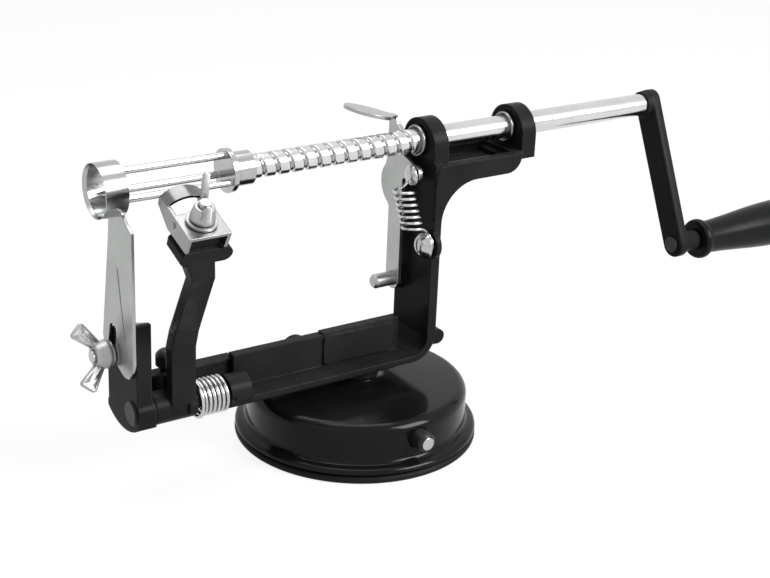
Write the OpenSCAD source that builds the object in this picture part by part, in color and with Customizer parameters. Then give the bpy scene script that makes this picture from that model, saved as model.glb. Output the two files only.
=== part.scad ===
// Hand-cranked apple peeler, corer and slicer on a suction base.
// Millimetres. Origin at the centre of the suction face, +X along the feed
// shaft towards the crank, +Y to the rear, +Z up. Shown with the shaft fed in.

/* [Suction base] */
// Radius of the rim that stands on the table
base_r = 50; // [44:0.5:60]
// How far the rim stands out from the upright wall
rim_w = 4.5; // [3:0.25:5]
// Height of the top of the base
base_top = 24; // [20:0.5:34]
// Wall thickness of the base shell
shell_t = 2.6; // [1.6:0.1:4]
// Height of the rubber pad's rim
pad_h = 4; // [3:0.25:6]
// How far the cam shaft's axis lies below the base's top
cam_down = 8.4; // [8:0.1:9.5]
// Radius of the cam shaft
cam_r = 4; // [3:0.1:5]
// How far the cam shaft's end stands out of the wall
cam_out = 6.7; // [4:0.1:12]
// Length of the suction lever, from its pivot to its tip
lever_l = 82.5; // [55:0.5:92]
// How far the lever slopes down towards its tip, in degrees
lever_drop = 7.5; // [0:0.5:7.5]
// Thickness of the lever
lever_t = 4.5; // [3:0.1:7]

/* [Frame] */
// Width of the cast strip, front to rear
frame_w = 25; // [20:0.5:34]
// Inner face of the right upright, from the base's centre
up_x = 25.9; // [15:0.1:40]
// Thickness of the right upright
up_t = 4.1; // [3:0.1:7]
// Outer face of the left upright, from the base's centre
left_x = -105; // [-130:1:-98]
// Thickness of the left upright
left_t = 6; // [4:0.25:9]
// Height of the left upright's top
left_top = 72; // [66:0.5:84]
// Height of the seat that the frame stands on
seat_z = 26; // [25.5:0.25:34]
// Height of the rail's upper face above its seat
rail_h = 7; // [5.5:0.25:9]
// Thickness of the rail at its edges
rail_edge = 2.5; // [1.5:0.1:4]
// Height of the rail's web
web_h = 13.5; // [12.5:0.25:16]
// Thickness of the web
web_t = 4; // [2.5:0.1:6]
// Height of the shaft's axis above the table
shaft_z = 121.5; // [112:0.5:135]
// Outer radius of a bearing ring
ring_r = 11; // [9:0.25:14]
// Width of a bearing ring along the shaft
ring_w = 7; // [5:0.25:10]
// Distance between the two rings, face to face
ring_pitch = 44; // [34:0.5:52]
// Depth of the arm between the rings
arm_h = 8.5; // [6:0.25:11]
// Radius of the blend under the arm
blend_r = 17; // [10:0.5:22]

/* [Shaft, fork and bushes] */
// Diameter of the feed shaft
shaft_d = 9.5; // [8:0.1:11]
// Where the threaded end of the shaft meets the fork
fork_x = -52; // [-60:0.5:-48]
// Advance of the shaft in one turn of the crank
pitch = 6.1; // [5:0.1:7]
// Width of the thread's groove
groove_w = 2.2; // [2:0.05:2.8]
// Depth of the thread's groove
groove_d = 1; // [0.7:0.05:1.4]
// Wall of a bush
bush_t = 0.9; // [0.6:0.05:1.5]
// Thickness of a bush's flange
flange_t = 1.9; // [1:0.1:2.2]
// Radius of a bush's flange
flange_r = 6.3; // [6:0.1:8]
// Length of a fork prong
prong_l = 50; // [30:0.5:56]
// Radius of a fork prong
prong_r = 1.4; // [1:0.05:1.8]
// Radius of the circle that the prongs stand on
prong_c = 6; // [4.5:0.1:6.4]

/* [Crank] */
// Left face of the crank's hub, from the base's centre
crank_x = 143.6; // [135:0.2:165]
// Radius of the crank, shaft axis to handle axis
crank_l = 62.6; // [45:0.5:64]
// Angle of the crank from straight down, towards the front
crank_a = 24.8; // [0:0.1:45]
// Width of the crank arm
crank_w = 12; // [10:0.25:14]
// Length of the crank's hub along the shaft
crank_t = 6.6; // [5:0.1:9]
// Length of the boss that carries the handle
crank_boss = 8.4; // [6:0.2:14]
// Radius of the handle's spindle
pin_r = 3; // [2.5:0.1:3.6]
// Length of the grip
grip_l = 80; // [65:1:100]
// Largest radius of the grip
grip_r = 10.2; // [8.5:0.1:13]

/* [Peeling arm] */
// Pivot rod, how far its axis lies in from the rail's front edge
rod_in = 5; // [3.5:0.1:5.5]
// Pivot rod, height above the table
rod_z = 35.2; // [34.5:0.1:38]
// Radius of the pivot rod
rod_r = 4; // [3:0.1:4.5]
// Radius of the arm's hub
hub_r = 6.4; // [5.6:0.1:6.6]
// Width of the arm along the shaft
parm_w = 10; // [8:0.25:12]
// Thickness of the arm
parm_t = 5; // [4:0.25:6]
// How far the arm's head stands to the left of its hub
head_dx = 8; // [4:0.5:8.5]
// Tilt of the blade holder, rising to the rear, in degrees
head_a = 22; // [15:0.5:30]
// Width of the blade holder
hold_w = 16; // [13:0.25:19]
// Thickness of the blade holder's sheet
hold_t = 1.2; // [0.8:0.1:1.6]
// Width of the blade
blade_w = 6; // [5:0.25:8]

/* [Springs] */
// Wire of the arm's torsion spring
tor_wire = 1.5; // [1:0.05:1.6]
// Mean radius of the torsion spring
tor_r = 6.75; // [6.6:0.05:6.9]
// Wire of the feed plate's tension spring
ten_wire = 1.2; // [0.9:0.05:1.3]
// Mean radius of the tension spring
ten_r = 4.2; // [3.9:0.05:4.4]
// Coils of the tension spring
ten_n = 6; // [5:1:7]

/* [Slicer] */
// Thickness of the slicing plate
slice_t = 1.2; // [0.8:0.1:2]
// Width of the slicing plate
slice_w = 26; // [22:0.5:30]
// Inner radius of the coring ring
core_r = 9.4; // [9:0.1:12]
// Length of the coring ring
core_l = 9; // [6:0.25:10]
// Clamping bolt, how far it lies in from the rear edge
bolt_in = 6.5; // [4.5:0.25:8.5]
// Clamping bolt, height above the table
bolt_z = 55; // [53:0.25:58]
// Radius of the clamping bolts
bolt_r = 2.5; // [2:0.1:3]

/* [Feed plate] */
// Thickness of the feed plate
feed_t = 1.8; // [1.4:0.1:2]
// Pivot of the feed plate, how far it lies in from the rear edge
feed_in = 3.7; // [3:0.1:4.5]
// Pivot of the feed plate, height above the table
feed_z = 60; // [58:0.25:64]
// Radius of the feed plate's pivot
feed_r = 3; // [2.5:0.1:3.2]
// Length of the thumb tab
tab_l = 24; // [19:0.5:28]
// Width of the thumb tab
tab_w = 20; // [14:0.5:21]

/* [Hidden] */
$fn = 48;
// Clearance between pieces that slide past each other
gap = 0.3;
// Radial clearance of a running fit
run = 0.05;
shaft_r = shaft_d / 2;
bush_r = shaft_r + run + bush_t;
hw = frame_w / 2;
wall_r = base_r - rim_w;
cam_z = base_top - cam_down;
rod_y = hw - rod_in;
bolt_y = hw - bolt_in;
feed_y = hw - feed_in;
rail_z = seat_z + rail_h;
belly = rail_h - rail_edge;
seat_r = hw - 3.5;
ring_drop = 2;
rear_top = rail_z + 11;
right_x = up_x + up_t;
ring2_x = up_x + ring_pitch;
arm_top = shaft_z - 7.2;
arm_end = ring2_x - 1;
// the rod's bearing in the rail stands at the right of the torsion spring
foot_t = left_t + 1.3;
hub_x0 = left_x + foot_t + gap;
hub_l = 16.9;
hub_x1 = hub_x0 + hub_l;
tor_p = tor_wire + 0.5;
tor_n = 6.25;
tor_x1 = hub_x1 + gap + tor_n * tor_p + tor_wire;
boss_x0 = tor_x1 + gap;
boss_l = 9;
boss_r = rod_r + 2.5;
// the peeling arm, its elbow and the blade holder's own frame
parm_x = hub_x1 - parm_w / 2 - 0.9;
parm_y = -rod_y - hub_r;
// centre of the arm's front face, its height and its width, from the knee up to the elbow
knee_z = rod_z + 25;
knee = [[0, 0, knee_z, 0], [-0.19 * head_dx, -5.6, knee_z + 9, 0.3], [-0.43 * head_dx, -13, knee_z + 18, 0.6],
    [-0.75 * head_dx, -22.6, knee_z + 29.5, 0.9], [-head_dx, -31, knee_z + 40, 1.2]];
head_o = [parm_x - head_dx - 0.5, parm_y - 37.1, knee_z + 57.8];
hold_l = 24;
hold_d = 7;
slot_y = 7.5;
slot_s = 2.5;
// the feed plate runs just left of the left bush's flange
feed_x1 = up_x - gap - flange_t - gap;
feed_x0 = feed_x1 - feed_t;
tooth_x = (feed_x0 + feed_x1) / 2;
tooth_t = 1;
// the tension spring runs from the post on the plate to the screw on the upright
lug_x = up_x - 0.2;
lug = [2.2 - hw, 80.5];
lug_r = 6.2;
screw_r = 1.8;
head_r = 5.4;
post_r = 1.5;
post = [feed_y - 12.8, shaft_z - 12.5];
loop_r = 3.4;
top_x = feed_x0 - gap - ten_wire / 2;
low_x = lug_x - gap - ten_wire / 2;
ten_x = top_x - 4.6;
// the coils lean to the right towards the screw
ten_lean = 2.7;
// the slicing plate lies on the left upright
slice_x1 = left_x - gap;
slice_x0 = slice_x1 - slice_t;
slot_w = bolt_r + 0.5;
nut_x = slice_x0 - gap;
washer_t = 1;
washer_r = bolt_r * 2;
// the crank's arm lies back from the face of its hub
crank_step = 2.4;
// the lever turns just clear of the base's wall
lever_y = wall_r + 0.9;
// the cam shaft's crank pin turns in the eye of the pad
cam_pin = 2.4;
cam_ecc = 1.5;
eye_y = 4.2;

// Cylinder along X
module xcyl(r, x0, x1, y = 0, z = 0) {
    translate([x0, y, z]) rotate([0, 90, 0]) cylinder(r = r, h = x1 - x0);
}

// Cylinder along Y
module ycyl(r, y0, y1, x = 0, z = 0) {
    translate([x, y0, z]) rotate([-90, 0, 0]) cylinder(r = r, h = y1 - y0);
}

// Domed head along X: a cap h high on a face at x0, facing -X
module dome(r, h, x0, y, z) {
    k = (r * r + h * h) / (2 * h);
    translate([x0, y, z]) intersection() {
        translate([k - h, 0, 0]) sphere(k, $fn = 72);
        rotate([0, -90, 0]) translate([0, 0, 0]) cylinder(r = r + 1, h = h + 1);
    }
}

// Box between two corners
module box(a, b) {
    translate(a) cube(b - a);
}

// A plan in Y and Z, given thickness along X
module yz_plate(x0, t) {
    translate([x0, 0, 0]) rotate([90, 0, 90]) linear_extrude(t) children();
}

// A plan in X and Z, given depth along Y
module xz_plate(y0, y1) {
    translate([0, y1, 0]) rotate([90, 0, 0]) linear_extrude(y1 - y0) children();
}

// Points on an arc, and the outline of a rounded bar from a to b
function arc(c, r, a0, a1, n = 10) =
    [for (i = [0:n]) let (g = a0 + (a1 - a0) * i / n) c + r * [cos(g), sin(g)]];
function bar(a, b, r, n = 10) =
    let (d = b - a, g = atan2(d[1], d[0]))
    concat(arc(b, r, g - 90, g + 90, n), arc(a, r, g + 90, g + 270, n));

// Tube swept along points, with frames carried from ring to ring
function unit(v) = v / norm(v);
function tangents(p) = [for (i = [0:len(p) - 1])
    unit(p[min(i + 1, len(p) - 1)] - p[max(i - 1, 0)])];
function carry(t, i, n) = i >= len(t) ? [] :
    let (m = unit(n - (n * t[i]) * t[i])) concat([m], carry(t, i + 1, m));
module tube(p, r, n0, s = 6) {
    t = tangents(p);
    n = carry(t, 0, n0);
    last = (len(p) - 1) * s;
    pts = [for (i = [0:len(p) - 1]) for (k = [0:s - 1])
        p[i] + r * (cos(360 * k / s) * n[i] + sin(360 * k / s) * cross(t[i], n[i]))];
    sides = [for (i = [0:len(p) - 2]) for (k = [0:s - 1]) for (f = [0, 1])
        let (a = i * s + k, b = i * s + (k + 1) % s)
        f == 0 ? [a, b + s, b] : [a, a + s, b + s]];
    ends = [for (k = [1:s - 2]) for (f = [0, 1])
        f == 0 ? [0, k, k + 1] : [last, last + k + 1, last + k]];
    polyhedron(points = pts, faces = concat(sides, ends));
}
// Least clear distance of a tube to itself, beyond a half turn
function self_gap(p, r, skip) = min([for (i = [0:len(p) - 2]) for (j = [i + skip:1:len(p) - 1])
    norm(p[i] - p[j])]) - 2 * r;

// Wing nut on an axis along -X, wings turned by a, seated at x = 0
function wing(r) =
    let (root = [-3.2, r * 1.2], tip = [-8.8, 9.3], d = (tip - root) / norm(tip - root), n = [-d[1], d[0]],
        g = atan2(d[1], d[0]))
    concat(arc(tip + 1.3 * d - 2 * n, 0.9, g - 90, g, 5), arc(tip + 1.3 * d + 2 * n, 0.9, g, g + 90, 5),
        [root + 2.3 * n, root - 2.3 * n]);
module wing_nut(r, a) {
    difference() {
        union() {
            translate([-5.6, 0, 0]) rotate([0, 90, 0]) cylinder(r1 = r * 1.75, r2 = r * 2.25, h = 5.6);
            rotate([a, 0, 0]) for (s = [0, 1]) mirror([0, 0, s])
                xz_plate(-1.15, 1.15) difference() {
                    polygon(wing(r));
                    translate([-20, -10]) square([40, 10 + r * 0.7]);
                }
        }
        xcyl(r + run, -20, 20);
    }
}

module base_shell() {
    lip_z = pad_h + 2.4;
    r_s = 3;
    fl = base_r - wall_r - 0.6;
    color("#16171a") difference() {
        union() {
            rotate_extrude($fn = 96) difference() {
                union() {
                    translate([0, pad_h]) square([base_r, lip_z - pad_h]);
                    translate([0, pad_h]) square([wall_r, base_top - r_s - pad_h]);
                    translate([0, pad_h]) square([wall_r - r_s, base_top - pad_h]);
                    translate([wall_r - r_s, base_top - r_s]) circle(r_s);
                    translate([0, lip_z - 0.1]) difference() {
                        square([wall_r + fl, fl]);
                        translate([wall_r + fl, fl + 0.1]) circle(fl);
                    }
                }
                translate([-1, pad_h - 1]) square([wall_r - shell_t + 1, base_top - shell_t - pad_h + 1]);
            }
            translate([0, 0, base_top - 0.2]) cylinder(r1 = seat_r + 2, r2 = seat_r, h = seat_z - base_top + 0.2);
        }
        for (s = [-1, 1]) ycyl(cam_r + run, min(s * wall_r * 1.2, 0), max(s * wall_r * 1.2, 0), 0, cam_z);
    }
}

module suction_pad() {
    bore = cam_pin + cam_ecc + 0.4;
    stem = bore + 3;
    color("#0d0d0e") difference() {
        union() {
            rotate_extrude($fn = 96) union() {
                square([base_r, pad_h - 1.5]);
                square([base_r - 1.2, pad_h]);
                translate([base_r - 1.5, pad_h - 1.5]) circle(1.5);
            }
            box([-stem, -eye_y, pad_h - 1], [stem, eye_y, base_top - shell_t - 0.4]);
        }
        ycyl(bore, -9, 9, 0, cam_z);
        translate([-100, -100, -20]) cube([200, 200, 20]);
    }
}

// Cross-section of the rail: flat top, round belly
module rail_2d(w, lower) {
    b = belly - 0.9;
    r = (pow(hw - 0.4, 2) + b * b) / (2 * b);
    intersection() {
        translate([-w / 2, seat_z + 0.4 - lower]) square([w, rail_h - 0.4 + lower]);
        translate([0, seat_z + 0.4 - lower + r]) circle(r, $fn = 96);
    }
}

// The strip of the rail and the right upright, seen from the front
module strip_2d() {
    ro = 11;
    ri = 7;
    z0 = rail_z - rail_edge;
    h = arm_top - z0;
    difference() {
        union() {
            translate([boss_x0, z0]) square([right_x - ro - boss_x0, h]);
            translate([boss_x0, z0 + ro]) square([right_x - boss_x0, h - ro]);
            translate([right_x - ro, z0 + ro]) circle(ro);
        }
        translate([boss_x0 - 1, rail_z]) square([up_x - ri - boss_x0 + 1, h + 9]);
        translate([boss_x0 - 1, rail_z + ri]) square([up_x - boss_x0 + 1, h + 9]);
        translate([up_x - ri, rail_z + ri]) circle(ri);
    }
}

// The web on the rail, lower at the left, with a stepped top
module web_2d() {
    x0 = boss_x0 + boss_l - 2;
    x1 = up_x - 7.6;
    translate([x0, rail_z - 1]) square([x1 - x0, web_h + 1]);
    translate([-18, rail_z - 1]) square([x1 + 18, web_h + 1.7]);
}

// Front outline of the arm between the rings
module gusset_2d() {
    z0 = arm_top - arm_h;
    er = 7;
    translate([right_x - 2, z0]) square([arm_end - er - right_x + 2, arm_h]);
    translate([arm_end - er - 1, z0 + er - 0.01]) square([er + 1, arm_h - er + 0.01]);
    intersection() {
        translate([arm_end - er, z0 + er]) circle(er);
        translate([arm_end - er - 1, z0]) square([er + 1, er]);
    }
    difference() {
        translate([right_x - 2, z0 - blend_r]) square([blend_r + 1.6, blend_r + 0.1]);
        translate([right_x - 0.4 + blend_r, z0 - blend_r]) circle(blend_r, $fn = 72);
    }
}

// Plate at the side of the arm, carried down the upright to the screw's boss
module plate_2d() {
    x0 = up_x + 0.4;
    z1 = arm_top - 0.8;
    intersection() {
        union() {
            gusset_2d();
            translate([x0, lug[1]]) square([right_x - 0.4 - x0, z1 - lug[1]]);
        }
        polygon(concat([[x0, lug[1]], [arm_end + 1, lug[1]], [arm_end + 1, z1]],
            arc([x0 + 5, z1 - 5], 5, 90, 180, 10)));
    }
}

module ring(x) {
    zc = shaft_z - ring_drop;
    foot = [[-ring_r, arm_top - 4], [ring_r, arm_top - 4]];
    yz_plate(x, ring_w) polygon(concat(arc([0, zc], ring_r, 0, 180, 32), foot));
}

module frame() {
    color("#1b1c1f") difference() {
        union() {
            xz_plate(-hw, hw) strip_2d();
            // rail with its round belly, and the seat on the base
            yz_plate(boss_x0, right_x - 22 - boss_x0) rail_2d(frame_w - 0.8, 0);
            translate([right_x - 22, 0, 0]) rotate_extrude() intersection() {
                rail_2d(frame_w - 0.8, 0);
                square([frame_w, 200]);
            }
            yz_plate(left_x + left_t - 1, boss_x0 - left_x - left_t + 2) intersection() {
                rail_2d(frame_w - 0.8, 0);
                translate([0.8, 0]) square([frame_w, 200]);
            }
            translate([0, 0, seat_z]) cylinder(r = seat_r, h = rail_h - 1);
            // web, its raised panel and the bar behind the peeling arm
            xz_plate(-web_t / 2, web_t / 2) web_2d();
            xz_plate(-web_t / 2 - 0.9, 0) {
                translate([-18, rail_z + 2]) square([33, web_h - 4]);
                translate([-16.5, rail_z + 0.5]) square([30, web_h - 1]);
                for (x = [-16.5, 13.5]) for (z = [rail_z + 2, rail_z + web_h - 2])
                    translate([x, z]) circle(1.5);
            }
            box([left_x + left_t - 1, 0.8, seat_z + 3], [boss_x0 + boss_l, 6.8, rear_top]);
            // left upright on its foot, with a top that falls to the rear
            yz_plate(left_x, left_t) polygon([[-hw, rail_z - 2], [hw, rail_z - 2],
                [hw, left_top - 9], [-hw + 2, left_top], [-hw, left_top]]);
            yz_plate(left_x, foot_t) rail_2d(frame_w + 1.6, 0.5);
            xcyl(boss_r, left_x, left_x + foot_t, -rod_y, rod_z);
            xcyl(boss_r, boss_x0, boss_x0 + boss_l, -rod_y, rod_z);
            // bearing rings and the arm that carries the right one
            ring(up_x);
            ring(ring2_x);
            xz_plate(-hw + 0.5, hw - 0.5) translate([up_x + 1, arm_top - arm_h + 0.4])
                square([arm_end - up_x - 4.6, 3]);
            box([arm_end - 5.2, 1.2 - hw, arm_top - arm_h + 1.7], [arm_end - 2.7, hw - 1.2, arm_top - 2.8]);
            for (y = [-hw - 0.5, hw - 3.7]) xz_plate(y, y + 4.2) plate_2d();
            for (y = [-hw + 0.6, hw - 3.6]) box([arm_end - 4, y, arm_top - 3.6], [ring2_x + 1, y + 3, arm_top - 1.2]);
            box([arm_end - 3, 1.4 - hw, arm_top - 3.6], [ring2_x + 1, hw - 1.4, arm_top - 0.6]);
            // bosses for the spring screw and the feed plate's pivot
            xcyl(lug_r, lug_x, lug_x + 2.2, lug[0], lug[1]);
            xcyl(feed_r + 1.6, feed_x1 + gap, up_x + 1, feed_y, feed_z);
        }
        for (x = [up_x, ring2_x]) xcyl(bush_r + run, x - 1, x + ring_w + 1, 0, shaft_z);
        xcyl(rod_r, left_x - 1, boss_x0 + boss_l + 1, -rod_y, rod_z);
        xcyl(bolt_r, left_x - 1, left_x + left_t + 1, bolt_y, bolt_z);
        xcyl(screw_r, lug_x - 1, right_x + 1, lug[0], lug[1]);
        xcyl(feed_r, up_x - 9, right_x + 1, feed_y, feed_z);
        xcyl(tor_wire / 2 + gap, boss_x0 - 1, boss_x0 + 2, -rod_y - tor_r, rod_z - tor_wire);
    }
}

module arm_rod() {
    x1 = boss_x0 + boss_l;
    color("#2a2b2e") {
        xcyl(rod_r, left_x, x1, -rod_y, rod_z);
        translate([left_x, -rod_y, rod_z]) rotate([0, -90, 0]) cylinder(r1 = rod_r + 1, r2 = rod_r + 0.4, h = 0.8);
    }
}

module stop_screw() {
    color("#4a4b4e") translate([left_x + 20, 3.8, rear_top]) {
        cylinder(r = 2.2, h = 6);
        translate([0, 0, 2]) cylinder(r = 4.1, h = 4.5);
        translate([0, 0, 6.5]) intersection() {
            translate([0, 0, -1.9]) sphere(4.52);
            cylinder(r = 5, h = 4);
        }
    }
}

module slicer_bolt() {
    x0 = nut_x - washer_t - gap - 6.5;
    color("#c9ccd0") {
        xcyl(bolt_r, x0, left_x + left_t + 1, bolt_y, bolt_z);
        translate([left_x + left_t, bolt_y, bolt_z]) rotate([0, 90, 0]) cylinder(r1 = 5, r2 = 4.2, h = 3);
    }
}

module slicer_washer() {
    color("#c9ccd0") difference() {
        xcyl(washer_r, nut_x - washer_t, nut_x, bolt_y, bolt_z);
        xcyl(bolt_r, nut_x - 9, nut_x + 9, bolt_y, bolt_z);
    }
}

module slicer_wing_nut() {
    color("#c9ccd0") translate([nut_x - washer_t - gap, bolt_y, bolt_z]) wing_nut(bolt_r, -25);
}

module feed_pivot() {
    x0 = feed_x0 - 9.5;
    color("#c9ccd0") {
        xcyl(feed_r, x0 + 1, right_x, feed_y, feed_z);
        translate([x0 + 1, feed_y, feed_z]) rotate([0, -90, 0]) cylinder(r1 = feed_r, r2 = feed_r - 0.8, h = 1);
    }
}

module spring_screw() {
    x0 = low_x - ten_wire / 2 - gap;
    color("#c9ccd0") {
        xcyl(screw_r, x0 - 1, right_x, lug[0], lug[1]);
        difference() {
            dome(head_r, 4.2, x0, lug[0], lug[1]);
            translate([x0 - 4.2, lug[0], lug[1]]) rotate([80, 0, 0]) cube([2.6, 12, 1.1], center = true);
        }
    }
}

// Tension spring: a loop at each end, bent over from the last curl of the coils
function ten_path() =
    let (d = unit([0, post[0] - lug[0], post[1] - lug[1]]),
        v = [0, d[2], -d[1]],
        u = [1, 0, 0],
        hold = loop_r - ten_wire / 2 - gap,
        lo = [ten_x, lug[0], lug[1]] + d * (hold - screw_r),
        hi = [ten_x, post[0], post[1]] - d * (hold - post_r),
        n = ten_n + 0.5,
        b0 = low_x - ten_x - ten_lean,
        b1 = top_x - ten_x,
        e0 = 2.9,
        e1 = 2.6,
        c0 = head_r + 1.5,
        c1 = 4.4,
        h = norm(hi - lo) - c0 - c1,
        k = round(n * 8),
        foot = lo + u * ten_lean)
    concat(
        [for (i = [8:-1:0]) let (g = 15 + i * 28)
            foot + v * (loop_r - ten_r - loop_r * cos(g)) + u * b0 - d * loop_r * sin(g)],
        [for (i = [0:3]) let (g = 22.5 * i)
            foot - v * ten_r + u * b0 * cos(g) + d * (c0 - e0 * (1 - sin(g)))],
        [for (i = [0:k]) let (f = 360 * n * i / k)
            lo + d * (c0 + h * i / k) - v * ten_r * cos(f) + u * (ten_lean * (1 - i / k) - ten_r * sin(f))],
        [for (i = [1:4]) let (g = 22.5 * i)
            lo + v * ten_r + u * b1 * sin(g) + d * (c0 + h + e1 * (1 - cos(g)))],
        [for (i = [0:8]) let (g = 15 + i * 28)
            lo + v * (ten_r - loop_r + loop_r * cos(g)) + u * b1
            + d * (c0 + h + c1 + loop_r * sin(g))]);

module feed_spring() {
    p = ten_path();
    echo(feed_spring_clear_gap = self_gap(p, ten_wire / 2, 7));
    color("#d2d4d6") tube(p, ten_wire / 2, [1, 0, 0.01]);
}

// Torsion spring round the rod: one leg behind the arm, one into the rail's boss
function tor_path() =
    let (c = [0, -rod_y, rod_z],
        k = round(tor_n * 8),
        x0 = hub_x1 + gap + tor_wire / 2,
        lift = hub_r + gap + tor_wire / 2 - tor_r + 0.6,
        leg = parm_w - 1)
    concat(
        [for (x = [leg, leg * 0.5]) c + [x0 - 2 - x, 2, tor_r + lift]],
        [for (g = [90, 60, 30]) c + [x0 - 2 * sin(g), 2 * (1 - cos(g)), tor_r + lift]],
        [for (i = [0:k]) let (f = 360 * tor_n * i / k, e = max(0, 1 - i / 6))
            c + [x0 + tor_p * tor_n * i / k, -(tor_r + lift * e) * sin(f), (tor_r + lift * e) * cos(f)]],
        [for (g = [30, 60, 90]) let (f = 360 * tor_n)
            c + [x0 + tor_p * tor_n + tor_wire * (1 - cos(g)),
                -tor_r * sin(f) - tor_wire * sin(g) * cos(f),
                tor_r * cos(f) - tor_wire * sin(g) * sin(f)]]);

module arm_spring() {
    p = tor_path();
    echo(arm_spring_clear_gap = self_gap(p, tor_wire / 2, 7));
    color("#d2d4d6") tube(p, tor_wire / 2, [0, 0, 1]);
}

module bush(x) {
    color("#b9bcbf") difference() {
        union() {
            xcyl(bush_r, x - gap - flange_t, x + ring_w, 0, shaft_z);
            xcyl(flange_r, x - gap - flange_t, x - gap, 0, shaft_z);
        }
        xcyl(shaft_r + run, x - 9, x + ring_w + 9, 0, shaft_z);
    }
}

module bush_left() {
    bush(up_x);
}

module bush_right() {
    bush(ring2_x);
}

// Helical cutter for the thread's groove, in phase with the feed plate's tooth
module groove(x0, x1) {
    n = 16;
    i0 = floor((x0 - tooth_x) / pitch * n);
    i1 = ceil((x1 - tooth_x) / pitch * n);
    r0 = shaft_r - groove_d;
    r1 = shaft_r + 0.8;
    pts = [for (i = [i0:i1]) for (c = [[r0, -0.42], [r0, 0.42], [r1, 0.55], [r1, -0.55]])
        [tooth_x + i * pitch / n + c[1] * groove_w, c[0] * cos(360 * i / n), c[0] * sin(360 * i / n)]];
    last = (i1 - i0) * 4;
    sides = [for (i = [0:i1 - i0 - 1]) for (k = [0:3]) for (f = [0, 1])
        let (a = i * 4 + k, b = i * 4 + (k + 1) % 4)
        f == 0 ? [a, b + 4, b] : [a, a + 4, b + 4]];
    polyhedron(points = pts, faces = concat(sides,
        [[0, 1, 2], [0, 2, 3], [last, last + 2, last + 1], [last, last + 3, last + 2]]));
}

module feed_shaft() {
    color("#d5d8db") translate([0, 0, shaft_z]) difference() {
        xcyl(shaft_r, fork_x - 7, crank_x + crank_t);
        groove(fork_x + 3, tooth_x + 1);
    }
}

module fork() {
    disc_x = fork_x - 10;
    color("#d5d8db") translate([0, 0, shaft_z]) difference() {
        union() {
            xcyl(shaft_r + 1.8, disc_x, fork_x);
            xcyl(prong_c + prong_r + 1, disc_x, disc_x + 2);
            for (k = [0:2]) rotate([120 * k + 90, 0, 0]) {
                xcyl(prong_r, disc_x - prong_l + 8, disc_x + 1, prong_c);
                translate([disc_x - prong_l + 8, prong_c, 0]) rotate([0, -90, 0])
                    cylinder(r1 = prong_r, r2 = 0.15, h = 8);
            }
        }
        xcyl(shaft_r, fork_x - 7, fork_x + 9);
    }
}

// Crank plan, hub at the origin, handle end below
module crank_2d() {
    w = crank_w / 2;
    polygon(concat(arc([w - 4.8, 1.1], 4.8, 0, 90, 8), arc([4.8 - w, 1.1], 4.8, 90, 180, 8),
        arc([0, -crank_l], w - 0.2, 180, 360, 20)));
}

module crank_pose() {
    translate([crank_x, 0, shaft_z]) rotate([-crank_a, 0, 0]) children();
}

module crank_arm() {
    color("#1b1c1f") crank_pose() difference() {
        union() {
            yz_plate(crank_step, crank_t + 0.6 - crank_step) crank_2d();
            xcyl(shaft_r + 0.85, 0, crank_step + 2);
            xcyl(pin_r + 1.5, crank_step + 1, crank_t + 0.6 + crank_boss, 0, -crank_l);
        }
        xcyl(shaft_r, -1, crank_t);
        xcyl(pin_r, -1, crank_t + crank_boss + 9, 0, -crank_l);
    }
}

module grip_spindle() {
    x1 = crank_t + 0.6 + crank_boss + grip_l * 0.7;
    color("#8b8e92") crank_pose() {
        xcyl(pin_r, crank_step - 0.4, x1, 0, -crank_l);
        xcyl(pin_r + 0.5, crank_step - 0.8, crank_step, 0, -crank_l);
    }
}

// Half outline of the grip along its length, from the crank outwards
module grip_2d() {
    n = 24;
    neck = 7.2;
    polygon(concat([[0, 0], [0, 7.7], [0.9, 8.8], [3.2, 8.8], [4.4, 7.8]],
        [for (i = [0:n]) let (t = i / n, x = 6.5 + (grip_l - 6.5) * t,
            s = pow(sin(90 * min(1, t / 0.62)), 1.6),
            e = t > 0.72 ? sqrt(max(0, 1 - pow((t - 0.72) / 0.28, 2))) : 1)
            [x, max(0.02, (neck + (grip_r - neck) * s) * e)]], [[grip_l, 0]]));
}

module grip() {
    x0 = crank_t + 0.6 + crank_boss + gap;
    color("#141517") crank_pose() translate([x0, 0, -crank_l]) difference() {
        rotate([0, 90, 0]) rotate([0, 0, 90]) rotate_extrude($fn = 64) rotate(90) mirror([0, 1]) grip_2d();
        xcyl(pin_r + run, -1, grip_l * 0.7 + 1);
    }
}

// Frame of the blade holder: x along the shaft, y up the tilt, z off the sheet
module head() {
    translate(head_o) rotate([head_a, 0, 0]) children();
}

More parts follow.
